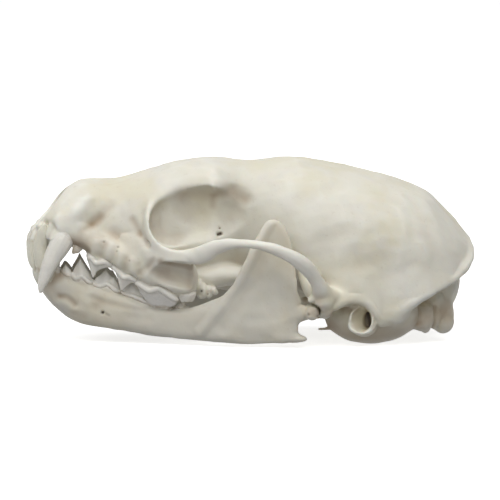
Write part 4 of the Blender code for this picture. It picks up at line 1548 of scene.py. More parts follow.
@dataclass
class Dentition:
    """All the teeth of the skull. The incisors and the lower canines have an enamel of their own."""

    finish: EnamelFinish
    front_finish: EnamelFinish

    def blade(self, row: Point, rows: Table, rim: Table, jaw: Jaw) -> list[Strand]:
        """The strands of a blade tooth: its standing blade, and a rim round its base.

        Args:
            row: Where the tooth row runs in plan: start, first and slope.
            rows: The blade's table.
            rim: The rim's table.
            jaw: The jaw it stands in.

        Returns:
            Its strands.
        """
        start, first, slope = row
        x, gum, edge, half_width = between(np.array(rows), steps=5).T
        y = first + slope * (x - start)
        height = np.maximum(np.abs(edge - gum), LEAST_BLADE)
        stops = np.stack([x, y, gum], axis=1)
        sizes = np.stack([np.full_like(x, BLADE_BEAD), half_width, jaw.value * height], axis=1)
        strands = [Strand(stops, sizes)]
        rim_x, rim_z, radius = between(np.array(rim), steps=4).T
        beside = np.interp(rim_x, x, half_width)
        radius = radius * RIM_SWELL[jaw]
        for across in (-1, 1):
            out = (beside - RIM_INSET) * across
            line = np.stack([rim_x - slope * out, first + slope * (rim_x - start) + out, rim_z], axis=1)
            strands.append(Strand(line, np.stack([radius, radius, radius], axis=1), Bead.DOME, False))
        return strands

    def peg(self, rows: Table) -> list[Strand]:
        """The strand of a canine or an incisor, which turns with the tooth.

        Args:
            rows: The tooth's table.

        Returns:
            Its strand.
        """
        x, y, z, half_length, half_width = between(np.array(rows), steps=6).T
        order = np.argsort(z) if z[0] > z[-1] else np.arange(len(z))
        stops = np.stack([x, y, z], axis=1)[order]
        thick = np.minimum(PEG_BEAD, PEG_BEAD_SHARE * half_width)
        sizes = np.stack([half_length, half_width, thick], axis=1)[order]
        return [Strand(stops, sizes, Bead.DOME, False)]

    def lobe(self, place: Point, reach: Point, bead: Bead = Bead.DOME) -> Strand:
        """A single rounded or pointed lobe.

        Args:
            place: Its place at the gum.
            reach: Its half length, half width and height, which is negative in the upper jaw.
            bead: Its form.

        Returns:
            A strand that is as good as a point.
        """
        x, y, z = place
        stops = np.array([(x - LOBE_LINE, y, z), (x + LOBE_LINE, y, z)])
        return Strand(stops, np.array([reach, reach], float), bead)

    def upper_molar(self) -> list[Strand]:
        """The upper molar: two outer cusps, a waist and a broad inner lobe.

        Returns:
            Its strands.
        """
        x = UPPER_MOLAR_X
        y, gum, height, half_length = between(np.array(UPPER_MOLAR), steps=4).T
        stops = np.stack([np.full_like(y, x), y, gum], axis=1)
        sizes = np.stack([np.full_like(y, UPPER_MOLAR_BEAD), half_length, -height], axis=1)
        return [
            Strand(stops, sizes, Bead.DOME),
            self.lobe((x - 0.8, 11.9, 9.6), (1.0, 0.95, -1.75)),
            self.lobe((x + 0.8, 11.8, 9.6), (0.95, 0.9, -1.65)),
            self.lobe((x - 0.1, 7.6, 10.3), (0.7, 1.4, -2.3), Bead.CUSP),
        ]

    def plan(self) -> list[tuple[str, Jaw, list[Strand]]]:
        """Every tooth of one side.

        Returns:
            Each tooth's name, its jaw, and its strands on the +Y side.
        """
        teeth = [
            ("canine", Jaw.UPPER, self.peg(UPPER_CANINE)),
            ("molar", Jaw.UPPER, self.upper_molar()),
            ("canine", Jaw.LOWER, self.peg(LOWER_CANINE)),
        ]
        for name, (rows, rim) in UPPER_BLADES.items():
            strands = self.blade(UPPER_ROW, rows, rim, Jaw.UPPER)
            if name == "carnassial":
                strands.append(self.lobe((-21.6, 9.0, 12.4), (1.3, 1.2, -1.5)))
            teeth.append((name, Jaw.UPPER, strands))
        for name, (rows, rim) in LOWER_BLADES.items():
            teeth.append((name, Jaw.LOWER, self.blade(LOWER_ROW, rows, rim, Jaw.LOWER)))
        teeth += [(name, Jaw.UPPER, self.peg(rows)) for name, rows in UPPER_PEGS.items()]
        teeth += [(name, Jaw.LOWER, self.peg(rows)) for name, rows in LOWER_PEGS.items()]
        last_molar = [
            self.lobe((-13.9, 9.75, 6.7), (1.35, 1.1, 0.95)),
            self.lobe((-14.2, 9.5, 6.8), (0.5, 0.5, 1.25), Bead.CUSP),
        ]
        teeth.append(("molar_2", Jaw.LOWER, last_molar))
        return teeth

    def gum(self, jaw: Jaw, name: str) -> tuple[Line, float]:
        """Where a tooth's gum line runs, and how strongly its neck is stained.

        Args:
            jaw: The jaw it stands in.
            name: Its name in the plan.

        Returns:
            The line and the stain.
        """
        if jaw is Jaw.UPPER:
            special = {"canine": (CANINE_GUMS, NECK_UPPER_CANINE), "premolar_1": (STUB_GUMS, NECK_STUB_DIRT_AND_SHADE)}
            return special.get(name, (UPPER_GUMS, NECK_UPPER))
        return LOWER_GUMS, NECK_UPPER if name.startswith("incisor") else NECK_LOWER

    def build(self) -> list[bpy.types.Object]:
        """Builds the teeth of both sides.

        Returns:
            The teeth's pieces.
        """
        pieces = []
        tree = CrownTree()
        enamel = self.finish.make()
        ivory = self.front_finish.make()
        for name, jaw, strands in self.plan():
            gums, neck = self.gum(jaw, name)
            # Only the upper carnassial's blade gets painted shade.
            painted_shade = CARNASSIAL_PAINTED_SHADE if (jaw, name) == (Jaw.UPPER, "carnassial") else 0.0
            pale = name.startswith("incisor") or (jaw, name) == (Jaw.LOWER, "canine")
            for side in Side:
                tooth = Tooth(f"tooth_{jaw.word}_{side.word}_{name}", jaw, side, strands, gums, neck, painted_shade)
                pieces.append(tooth.build(tree, ivory if pale else enamel))
        return pieces


CRANIUM_ADDS = (
    # The cheek arch's front third is deep, and its rear root is broad and reaches round the jaw's socket.
    Limb((
        (-14.4, 16.0, 17.4, 0.8, 0.6), (-12.5, 17.2, 17.3, 1.2, 0.8), (-11.0, 18.1, 17.4, 1.6, 0.85),
        (-9.7, 18.9, 18.0, 1.65, 0.85), (-8.7, 19.4, 18.6, 1.5, 0.85), (-7.8, 19.9, 19.15, 1.4, 0.85),
        (-6.8, 20.4, 19.5, 1.25, 0.8), (-5.6, 21.0, 19.95, 1.15, 0.8), (-4.1, 21.7, 20.15, 0.95, 0.75),
        (-2.5, 22.4, 20.2, 0.7, 0.6),
    )),
    Limb((
        (0.2, 23.4, 19.9, 0.6, 0.6), (2.4, 23.8, 19.5, 0.85, 0.7), (4.3, 23.9, 18.9, 0.92, 0.75),
        (6.2, 23.9, 18.1, 1.0, 0.8), (7.8, 23.6, 17.2, 1.1, 0.9), (9.2, 23.1, 16.1, 1.15, 0.95),
        (10.4, 22.2, 14.7, 1.2, 1.1), (11.4, 21.2, 12.9, 1.25, 1.3),
        (12.1, 20.1, 11.2, 1.5, 1.5), (12.5, 19.0, 9.8, 1.9, 1.7), (12.7, 17.8, 8.6, 2.2, 1.9),
        (12.6, 16.6, 7.8, 2.0, 1.8),
    )),
    Limb(((11.8, 19.0, 9.7, 0.9, 1.4), (10.8, 18.9, 9.2, 0.65, 1.3), (10.1, 18.8, 8.9, 0.45, 1.2))),
    Knob((13.2, 17.4, 7.0), (1.6, 2.1, 1.8)),
    Limb(((12.9, 7.0, 8.2, 1.3, 1.3), (12.9, 12.0, 7.4, 1.3, 1.3), (13.0, 16.0, 7.2, 1.5, 1.5))),
    Limb(((12.8, 9.2, 7.5, 1.5, 1.3), (10.8, 9.2, 7.3, 1.4, 1.1), (8.8, 9.0, 7.4, 1.1, 1.0))),
    # The wall of the temple slopes out to the arch's root.
    Limb((
        (8.6, 11.4, 17.2, 1.2, 1.2), (9.6, 13.4, 15.0, 1.8, 1.7), (10.4, 15.0, 12.8, 2.0, 1.9),
        (11.2, 16.2, 10.8, 2.0, 1.9), (12.2, 16.8, 9.4, 1.6, 1.6),
    )),
    # The mastoid's flank.
    Limb((
        (23.2, 15.9, 5.2, 2.0, 1.3), (25.0, 16.1, 5.9, 2.4, 1.5), (27.0, 16.3, 6.8, 2.3, 1.5),
        (29.0, 16.5, 8.3, 1.9, 1.3), (31.0, 16.5, 9.6, 1.5, 0.9),
    )),
    # The ear opening is filled here and cut again; over it runs the ridge that ends as the mastoid's edge.
    Knob((20.9, 15.0, 3.8), (2.7, 2.4, 2.4)),
    Limb((
        (13.4, 17.6, 7.6, 1.5, 1.4), (14.9, 17.2, 7.9, 1.3, 1.2), (16.4, 16.9, 8.4, 1.15, 1.1),
        (18.3, 16.7, 9.0, 1.15, 1.1), (20.2, 16.6, 8.9, 1.2, 1.2), (21.9, 16.5, 7.9, 1.2, 1.3),
        (23.2, 16.3, 6.2, 1.2, 1.4), (24.2, 16.2, 5.3, 1.2, 1.3), (26.2, 16.6, 5.4, 1.1, 1.1),
        (27.9, 16.8, 5.9, 1.0, 1.0), (29.6, 16.9, 7.6, 0.8, 0.8),
    )),
    Limb((
        (22.9, 16.3, 4.6, 0.5, 0.6), (22.6, 16.7, 3.5, 0.42, 0.6), (21.8, 17.0, 2.7, 0.38, 0.6),
        (20.5, 17.1, 2.3, 0.36, 0.6), (19.2, 17.0, 2.6, 0.36, 0.6), (18.3, 16.6, 3.2, 0.34, 0.5),
        (17.95, 16.1, 4.0, 0.28, 0.4),
    )),
    # Back of the skull: the neck's knuckle, the swelling over it and the spur beside it.
    Knob((36.9, 7.4, 3.4), (2.15, 2.1, 2.35)),
    Knob((36.4, 6.8, 6.3), (1.1, 1.3, 1.5)),
    Knob((33.2, 10.1, 3.7), (1.3, 1.5, 2.2)),
    Knob((34.9, 8.8, 4.6), (1.5, 1.6, 2.5)),
    Knob((34.8, 8.6, 7.8), (2.0, 1.8, 2.0)),
    # Knuckles of bone over the incisors, and the bone between the last of them and the canine.
    Limb((
        (-38.3, 5.6, 23.2, 0.9, 0.9), (-38.5, 6.0, 22.0, 1.0, 0.9), (-39.1, 6.1, 20.8, 0.85, 0.8),
        (-39.5, 5.9, 19.8, 0.45, 0.7),
    )),
    Knob((-39.6, 4.4, 20.6), (1.5, 1.4, 1.9)),
    Knob((-40.9, 4.2, 22.0), (0.9, 0.9, 0.8)),
    Knob((-42.1, 2.5, 21.1), (0.75, 0.9, 0.6)),
    # The jaw's edge between the canine and the second premolar.
    Limb((
        (-35.8, 6.8, 20.3, 0.7, 0.8), (-34.6, 7.1, 19.5, 0.95, 0.9), (-33.4, 7.3, 19.2, 1.0, 0.9),
        (-32.2, 7.5, 18.5, 1.0, 0.9), (-31.2, 7.8, 17.8, 0.9, 0.9),
    )),
    # The cheek before the eye socket.
    Limb((
        (-25.4, 8.4, 19.6, 1.5, 1.2), (-23.4, 9.5, 19.4, 1.7, 1.4), (-21.6, 10.8, 18.8, 1.8, 1.5),
        (-20.2, 11.9, 17.9, 1.5, 1.4), (-19.4, 12.7, 17.5, 1.1, 1.2),
    )),
    # The wall beside the palate's rear, and its ragged lower edge.
    Limb((
        (-11.5, 5.2, 12.6, 1.8, 2.4), (-8.5, 6.0, 12.3, 2.2, 2.7), (-5.0, 6.2, 12.7, 2.2, 2.6),
        (-1.5, 6.0, 12.2, 1.8, 2.3), (2.0, 5.6, 11.0, 1.2, 1.8),
    )),
    Knob((-11.0, 7.8, 10.3), (1.2, 1.5, 1.5)),
    Knob((-10.4, 8.4, 10.7), (0.6, 1.2, 1.25)),
    Knob((-9.6, 8.6, 9.7), (0.75, 1.2, 1.5)),
    Knob((-8.5, 8.6, 10.0), (0.55, 1.1, 0.75)),
    Knob((-8.6, 8.7, 9.1), (0.6, 0.9, 0.8)),
    Knob((-7.6, 8.5, 9.8), (0.5, 1.0, 0.85)),
    Knob((-7.1, 8.4, 9.4), (0.35, 0.8, 0.45)),
    Knob((-10.1, 8.7, 8.7), (0.8, 0.8, 0.5)),
)
CRANIUM_CUTS = (
    # The eye socket and the hollow behind the brow.
    Knob((-11.0, 13.7, 24.6), (9.3, 5.8, 6.6)),
    Limb((
        (-15.0, 8.6, 23.6, 3.2, 3.2), (-15.0, 9.4, 23.5, 4.6, 4.6), (-15.0, 11.0, 23.4, 5.2, 5.2),
        (-14.9, 14.0, 23.5, 5.3, 5.3), (-14.9, 17.5, 23.5, 5.3, 5.3),
    )),
    Knob((-4.6, 13.9, 23.4), (6.45, 5.65, 7.05)),
    # The wall under the front of the cheek arch is sunk behind the cheek's edge and open to the rear.
    Limb((
        (-20.6, 18.5, 13.8, 1.2, 5.4), (-19.3, 18.5, 13.6, 2.4, 5.8), (-17.6, 18.5, 13.4, 3.2, 5.9),
        (-15.0, 18.5, 13.0, 3.5, 5.6), (-12.5, 18.5, 12.2, 3.7, 5.3), (-11.0, 18.5, 11.5, 3.6, 5.2),
        (-9.5, 18.5, 10.8, 3.4, 5.2),
    )),
    # The jaw's socket.
    Limb(((10.8, 11.4, 6.8, 1.6, 1.6), (10.8, 21.6, 6.8, 1.6, 1.6))),
    # The ear's funnel and the hollow before it.
    Limb((
        (20.2, 19.4, 5.0, 2.6, 2.25), (20.3, 17.2, 4.95, 2.5, 2.1), (20.9, 15.8, 4.8, 2.1, 1.6),
        (21.6, 14.4, 4.6, 1.8, 0.85), (21.9, 12.6, 4.5, 1.5, 0.55),
    )),
    Limb(((13.8, 19.6, 4.6, 1.2, 1.0), (16.0, 18.6, 5.5, 1.45, 1.3), (18.4, 18.0, 6.0, 1.35, 1.3))),
)
# The flank from the ear to the crest at the back of the skull.
CRANIUM_SHELVES = (
    Shelf((
        (14.6, 8.4), (16.0, 7.9), (18.4, 8.2), (20.4, 8.1), (22.0, 7.0), (23.2, 4.9), (24.7, 4.4),
        (27.8, 5.1), (29.7, 7.2), (31.6, 8.2), (33.5, 9.2), (35.4, 10.2), (37.0, 11.4), (38.3, 12.7),
        (39.6, 14.6), (41.0, 17.0),
    )),
)
# Where the folds between the node's forms are softened: the eye socket and the snout, the cheek and its
# lower edge, the arch's root, the neck's knuckle, and the flank over the ear.
CRANIUM_EASES = (
    Ease((-7.2, 8.4, 25.2), (4.0, 4.5, 6.5)),
    Ease((-17.2, 10.5, 28.4), (4.6, 4.5, 3.4), 0.5),
    Ease((-20.0, 12.8, 12.2), (3.4, 3.0, 2.2), 0.8),
    Ease((-14.0, 13.6, 9.0), (7.0, 2.8, 1.9), 0.9),
    Ease((-22.6, 11.0, 18.6), (3.6, 3.4, 3.6), 0.9),
    Ease((-6.0, 7.5, 15.0), (7.0, 3.5, 3.0), 0.7),
    Ease((-9.8, 9.5, 20.4), (6.0, 5.0, 2.4), 0.8),
    Ease((14.5, 17.5, 10.5), (2.2, 3.5, 2.4), 0.7),
    Ease((35.0, 9.0, 6.5), (2.6, 3.0, 3.2), 0.3),
    Ease((20.4, 16.8, 11.0), (9.0, 3.6, 2.7), 1.0),
    Ease((15.0, 16.8, 13.6), (3.4, 3.6, 4.0), 0.9),
    Ease((12.5, 16.5, 13.6), (2.6, 4.0, 3.4), 0.4),
    Ease((31.0, 15.5, 12.6), (8.0, 4.0, 3.4), 0.7),
    Ease((9.0, 13.5, 14.5), (2.6, 3.0, 4.5), 0.6),
)
CRANIUM_MARKS = (
    # Cheek: the hollow of the snout, with stain and painted shade, and the crease before the eye socket and
    # the lump's edge, both with painted shade.
    Mark(((-32.9, 8.3, 21.4), (-31.2, 8.3, 22.4), (-29.4, 8.3, 23.9)), 1.6, -0.2, 0.33),
    Mark(((-32.3, 8.3, 21.8), (-30.8, 8.3, 22.7)), 0.8, -0.06, 0.1),
    Mark(((-33.0, 8.0, 24.8), (-31.0, 8.0, 27.4)), 3.2, 0.42),
    Mark(((-34.6, 8.0, 24.2), (-33.6, 8.0, 25.6)), 2.0, 0.12),
    Mark(((-31.0, 8.3, 22.8), (-28.8, 8.3, 24.6), (-27.4, 8.3, 26.3)), 1.7, -0.2, 0.25),
    Mark(((-23.3, 11.0, 23.6), (-22.6, 11.5, 22.4), (-21.9, 12.0, 21.2)), 1.4, -0.22, 0.35),
    Mark(((-21.9, 11.8, 21.2), (-20.9, 12.2, 19.8), (-20.1, 12.5, 18.8)), 0.9, -0.12, 0.3),
    Mark(((-19.4, 13.4, 16.2), (-20.4, 13.0, 14.9), (-21.8, 12.4, 13.6)), 1.1, -0.22, 0.3),
    # Painted shadow under the cheek arch, and painted shade on the sunk wall below it and along the wall's
    # rear edge.
    Mark(((-18.0, 14.0, 16.0), (-15.6, 14.2, 15.7), (-12.4, 14.2, 15.1)), 1.3, -0.2, 0.9, 0.15),
    Mark(((-18.0, 13.8, 13.6), (-13.2, 14.0, 12.8)), 3.6, -0.1, 0.32),
    Mark(((-12.4, 13.6, 15.4), (-12.2, 13.4, 11.0)), 1.6, -0.15, 0.5),
    # A faint stain over the roots of the cheek teeth, faint swellings over them, painted shade in the
    # grooves between them, and pores darkened with dirt and painted shade.
    Mark(((-31.0, 8.6, 19.8), (-27.5, 9.0, 19.0), (-24.0, 10.6, 16.6)), 4.2, 0.0, 0.16),
    Mark(((-31.0, 8.6, 17.4), (-30.4, 8.4, 19.8)), 1.5, 0.2),
    Mark(((-27.9, 9.4, 16.8), (-27.1, 9.2, 19.0)), 1.4, 0.22),
    Mark(((-26.0, 10.0, 15.2), (-25.6, 10.0, 17.4)), 1.2, 0.2),
    Mark(((-23.4, 11.4, 14.2), (-23.5, 11.4, 16.0)), 1.3, 0.2),
    Mark(((-20.6, 12.6, 12.4), (-20.9, 12.6, 13.8)), 1.2, 0.16),
    Mark(((-29.4, 9.0, 16.6), (-28.8, 9.0, 18.8)), 1.3, -0.2, 0.3),
    Mark(((-24.8, 10.4, 14.2), (-24.6, 10.4, 16.4)), 1.0, -0.16, 0.3),
    Mark(((-22.2, 12.0, 13.4), (-22.2, 12.0, 15.2)), 0.9, -0.14, 0.25),
    Mark(((-30.8, 8.6, 20.4), (-29.2, 8.8, 20.2)), 1.3, -0.14, 0.2),
    Mark(((-28.8, 9.0, 19.4),), 0.4, -0.16, 0.4, 0.1),
    Mark(((-26.1, 9.4, 18.5),), 0.35, -0.18, 0.4, 0.3),
    Mark(((-26.3, 9.4, 17.7),), 0.32, -0.12, 0.4, 0.2),
    Mark(((-23.9, 10.5, 16.0),), 0.35, -0.12, 0.4, 0.2),
    Mark(((-27.0, 9.6, 20.6), (-24.6, 10.2, 20.0), (-22.8, 11.0, 19.4)), 2.2, -0.18, 0.25),
    # The edge behind the canine, darkened with stain, dirt and painted shade.
    Mark(
        ((-35.2, 7.9, 19.3), (-34.2, 7.9, 18.9), (-33.0, 8.1, 18.6), (-31.9, 8.4, 17.7)),
        1.25, -0.1, 1.0, 0.5,
    ),
    Mark(((-35.2, 8.0, 20.0), (-33.6, 8.2, 20.0), (-31.8, 8.4, 18.8)), 1.8, 0.0, 0.5),
    # The eye socket: the tip at the back of the brow, painted shade in its walls, and its foramina, painted
    # dark inside.
    Mark(((-7.9, 11.4, 30.2), (-7.5, 11.0, 29.5)), 0.6, 0.18),
    Mark(((-6.2, 8.5, 28.6), (-3.6, 8.8, 28.8), (-1.6, 9.2, 27.6)), 2.2, -0.45, 0.35),
    Mark(((-7.7, 8.0, 28.0), (-7.8, 7.4, 26.2)), 1.4, -0.18, 0.3),
    Mark(((-6.5, 6.8, 21.85),), 0.35, -0.35, 0.6, 0.9),
    Mark(((-6.75, 6.8, 20.75), (-6.25, 6.8, 20.85)), 0.62, -0.7, 0.5, 1.0),
    Mark(((-6.4, 9.0, 28.9), (-4.4, 9.0, 28.6), (-2.8, 9.5, 27.6)), 3.0, 0.0, 0.4),
    Mark(((-14.0, 9.0, 28.6), (-11.0, 9.0, 28.9), (-8.6, 9.0, 28.2)), 2.4, 0.0, 0.3),
    Mark(((-3.0, 8.0, 16.0), (0.0, 8.5, 13.6)), 3.0, 0.0, 0.3),
    # The cheek arch, the snout and the ridge over the ear are painted paler, a painted highlight.
    Mark(
        (
            (-13.0, 17.2, 17.0), (-9.7, 19.2, 17.6), (-6.8, 20.4, 19.2), (-2.5, 22.4, 20.0),
            (2.0, 23.8, 19.2), (6.0, 23.9, 17.0), (9.4, 23.0, 14.0), (11.6, 21.4, 11.0),
        ),
        3.0, worn=0.9,
    ),
    Mark(((-36.4, 7.0, 21.8), (-34.4, 7.6, 23.4), (-33.4, 7.0, 26.4)), 3.0, worn=0.6),
    Mark(((15.0, 16.0, 12.6), (21.0, 16.0, 12.0), (28.0, 15.0, 12.0)), 5.0, worn=0.4),
    # Side of the braincase: shallow prints of the chewing muscle, with a little painted shade in them, and
    # low ribs between them.
    Mark(((9.0, 13.5, 27.8), (12.4, 13.5, 29.7), (15.9, 13.0, 30.5)), 2.8, -0.1, 0.06),
    Mark(((12.6, 15.5, 19.9), (15.7, 15.5, 21.1), (18.4, 15.5, 21.8)), 2.5, -0.15, 0.1),
    Mark(((13.2, 15.5, 14.8), (16.7, 15.5, 18.2), (20.1, 15.5, 21.6), (23.6, 15.0, 24.3)), 2.4, 0.09),
    Mark(((17.4, 15.5, 15.0), (21.0, 15.5, 16.0), (24.3, 15.5, 16.8)), 2.0, -0.09, 0.06),
    Mark(((20.0, 15.5, 12.2), (23.5, 15.5, 14.2), (26.4, 15.5, 15.6)), 2.0, 0.07),
    Mark(((25.8, 14.0, 27.8), (28.2, 14.5, 24.7), (28.8, 15.0, 20.1), (27.6, 15.5, 15.8)), 2.2, 0.09),
    Mark(((30.1, 13.5, 28.0), (31.6, 13.5, 24.7), (32.0, 14.0, 21.2)), 2.0, -0.06, 0.06),
    Mark(((33.0, 13.0, 23.5), (33.6, 13.5, 18.9), (33.2, 14.0, 14.3)), 2.8, -0.08, 0.1),
    # Faint lines where the chewing muscles end: from the brow to the middle crest.
    Mark(
        (
            (-7.0, 11.2, 31.0), (-4.0, 9.8, 33.0), (1.0, 7.6, 34.2), (7.0, 5.0, 35.0), (13.0, 2.4, 34.4),
            (18.0, 0.6, 33.6),
        ),
        1.6, 0.07, facing=Facing.TOP,
    ),
    Mark(
        ((18.0, 0.0, 33.6), (26.0, 0.0, 31.5), (34.0, 0.0, 28.8), (40.0, 0.0, 23.5)),
        1.1, 0.1, facing=Facing.TOP, paired=False,
    ),
    # Nose: the seams of its bones.
    Mark(
        ((-34.0, 0.0, 31.0), (-24.0, 0.0, 31.6), (-16.0, 0.0, 34.2)),
        0.35, -0.06, 0.2, facing=Facing.TOP, paired=False,
    ),
    Mark(((-34.4, 3.4, 30.4), (-28.0, 3.8, 30.6), (-22.0, 3.2, 31.6)), 0.35, -0.05, 0.12, facing=Facing.TOP),
    # Ear: painted shade at the bottom of the funnel, under its roof and before it.
    Mark(((22.0, 13.4, 5.6), (22.1, 13.4, 4.4), (22.1, 13.4, 3.4)), 1.1, 0.0, 0.6, 1.0),
    Mark(((14.6, 16.0, 6.6), (17.0, 16.0, 6.6), (19.4, 15.6, 6.9)), 1.5, 0.0, 0.75, 0.12),
    Mark(((13.8, 18.0, 6.0), (12.2, 19.6, 7.6), (12.0, 20.4, 9.4)), 2.0, 0.0, 0.55),
    # Painted shade on the underside, in the slit behind the lower jaw's upright process, and in the ragged
    # edge's pores.
    Mark(((14.0, 13.0, 3.0), (20.0, 13.0, 1.0), (27.0, 12.0, 2.0)), 4.5, 0.0, 0.85),
    Mark(((31.0, 10.0, 4.5), (37.5, 8.0, 5.0)), 4.6, 0.0, 0.85),
    Mark(((8.8, 11.0, 11.4), (9.5, 10.6, 9.6), (10.2, 10.2, 8.4)), 1.4, 0.0, 0.9, 0.3),
    Mark(((-10.0, 9.6, 9.8),), 0.35, -0.35, 0.3, 1.0),
    Mark(((-8.8, 9.6, 9.2),), 0.3, -0.3, 0.3, 0.8),
    # Back of the skull: the creases beside the neck's knuckle, with painted shade, and the end of the middle
    # crest.
    Mark(((35.0, 9.0, 6.6), (34.7, 9.2, 4.4), (34.7, 8.6, 2.2)), 0.7, -0.2, 0.5, 0.1),
    Mark(((31.6, 12.6, 6.6), (31.8, 11.4, 3.6)), 0.8, -0.2, 0.4),
    Mark(((40.6, 0.0, 16.0), (40.0, 0.0, 13.0)), 1.0, 0.35, facing=Facing.REAR, paired=False),
)
JAW_ADDS = (
    # The chin's pad, which nearly meets the other half's.
    Limb((
        (-39.1, 1.75, 12.4, 1.4, 1.35), (-38.2, 1.75, 10.8, 1.7, 1.4), (-36.4, 1.75, 8.6, 1.8, 1.4),
        (-34.4, 1.75, 7.1, 1.75, 1.4), (-32.4, 1.8, 6.4, 1.5, 1.3),
    )),
    # The edge that runs from the upright process down to the hinge.
    Limb(((6.4, 16.6, 12.0, 0.9, 0.85), (7.3, 16.5, 9.8, 0.9, 0.9), (8.0, 16.4, 8.0, 0.8, 1.0))),
)
# The flank of the upright process.
JAW_EASES = (Ease((-2.0, 16.0, 8.0), (8.0, 3.0, 7.0), 0.3),)
JAW_MARKS = (
    # Front: the pit of the chin and the low places near it, with stain and painted shade; the holes for its
    # nerves, painted dark inside; and a stained patch behind the canine.
    Mark(((-37.2, 4.8, 8.5), (-36.2, 4.8, 8.4), (-35.2, 4.8, 7.8), (-34.4, 4.8, 7.0)), 1.1, -0.3, 0.5, 0.06),
    Mark(((-36.2, 4.8, 7.0), (-34.6, 4.8, 6.0)), 1.3, 0.14),
    Mark(((-34.6, 4.8, 5.2), (-32.6, 4.8, 4.6)), 1.4, -0.16, 0.35),
    Mark(((-29.05, 6.5, 5.55),), 0.55, -0.7, 0.3, 1.0),
    Mark(((-28.4, 6.5, 5.3), (-27.9, 6.5, 5.0)), 0.4, -0.14, 0.35, 0.15),
    Mark(((-38.8, 4.5, 12.0), (-37.4, 4.7, 12.6)), 1.9, -0.15, 0.8),
    Mark(((-39.6, 3.8, 10.4), (-38.2, 4.2, 9.0)), 2.2, -0.1, 0.3),
    Mark(((-30.4, 7.6, 6.8), (-29.6, 7.6, 7.4)), 1.6, -0.14, 0.35),
    Mark(((-33.4, 6.6, 8.2), (-32.0, 6.9, 7.4)), 1.2, 0.12),
    Mark(((-24.0, 9.4, 5.0), (-20.0, 10.4, 4.6)), 1.6, -0.1, 0.12),
    Mark(((-38.5, 4.0, 9.4), (-36.5, 4.4, 10.4), (-33.5, 5.0, 10.0)), 1.8, 0.1),
    # The ledge below the cheek teeth, with the shade under it.
    Mark(((-31.2, 7.5, 9.6), (-28.4, 8.2, 8.8), (-25.3, 9.0, 8.0), (-21.0, 9.8, 7.0)), 1.4, 0.1),
    Mark(((-31.0, 7.5, 8.6), (-28.6, 8.2, 7.6), (-25.7, 9.0, 6.9), (-21.0, 9.8, 6.2)), 1.0, -0.13, 0.25),
    # The coronoid's thick front edge, which runs down as the ridge before the chewing hollow.
    Mark(
        (
            (2.6, 16.2, 23.4), (1.2, 16.0, 21.0), (-0.4, 15.8, 17.9), (-1.8, 15.4, 15.0),
            (-3.3, 15.0, 12.0), (-5.2, 14.6, 9.4), (-7.2, 14.0, 6.6), (-9.0, 13.4, 4.2),
            (-10.4, 12.8, 2.4),
        ),
        1.7, 0.5,
    ),
    # The groove behind it, with a little painted shade.
    Mark(
        ((2.4, 16.6, 18.5), (0.4, 16.4, 14.0), (-2.2, 15.8, 9.6), (-4.4, 15.2, 6.2), (-6.2, 14.8, 3.6)),
        2.3, -0.3, 0.08,
    ),
    Mark(((2.6, 17.0, 15.0), (3.0, 17.0, 9.0)), 4.0, -0.12),
    # Painted shade on the jaw's body below the cheek teeth.
    Mark(((-18.0, 11.0, 5.0), (-11.0, 12.5, 4.6)), 4.5, -0.1, 0.2),
    Mark(((-1.0, 16.4, 3.4), (3.4, 16.8, 3.2), (6.4, 17.2, 3.0)), 2.2, 0.16),
    Mark(((7.6, 17.2, 12.6), (7.7, 17.0, 10.6), (8.6, 17.0, 8.4), (9.2, 17.6, 7.8)), 0.7, 0.14),
    # The rough knuckle of the hinge, darkened with painted shade.
    Mark(((11.6, 17.0, 6.9), (12.2, 20.0, 6.9)), 2.2, 0.0, 0.4, 0.2),
    Mark(((10.8, 20.0, 6.9),), 1.9, 0.0, 0.6, 0.06),
    Mark(((9.9, 20.0, 6.3), (11.8, 20.0, 6.0)), 0.5, -0.2, 0.4, 0.35),
    Mark(((10.2, 20.0, 7.7), (11.4, 20.0, 7.3)), 0.5, 0.14),
    # Inside: the hole for the nerve, with painted shade inside, and the rough seam of the chin.
    Mark(((-3.0, 14.0, 7.6),), 0.9, -0.7, 0.4, 0.7, facing=Facing.INNER),
    Mark(((-38.0, 0.5, 11.0), (-36.0, 0.5, 7.0)), 2.2, -0.12, 0.3, facing=Facing.INNER),
)


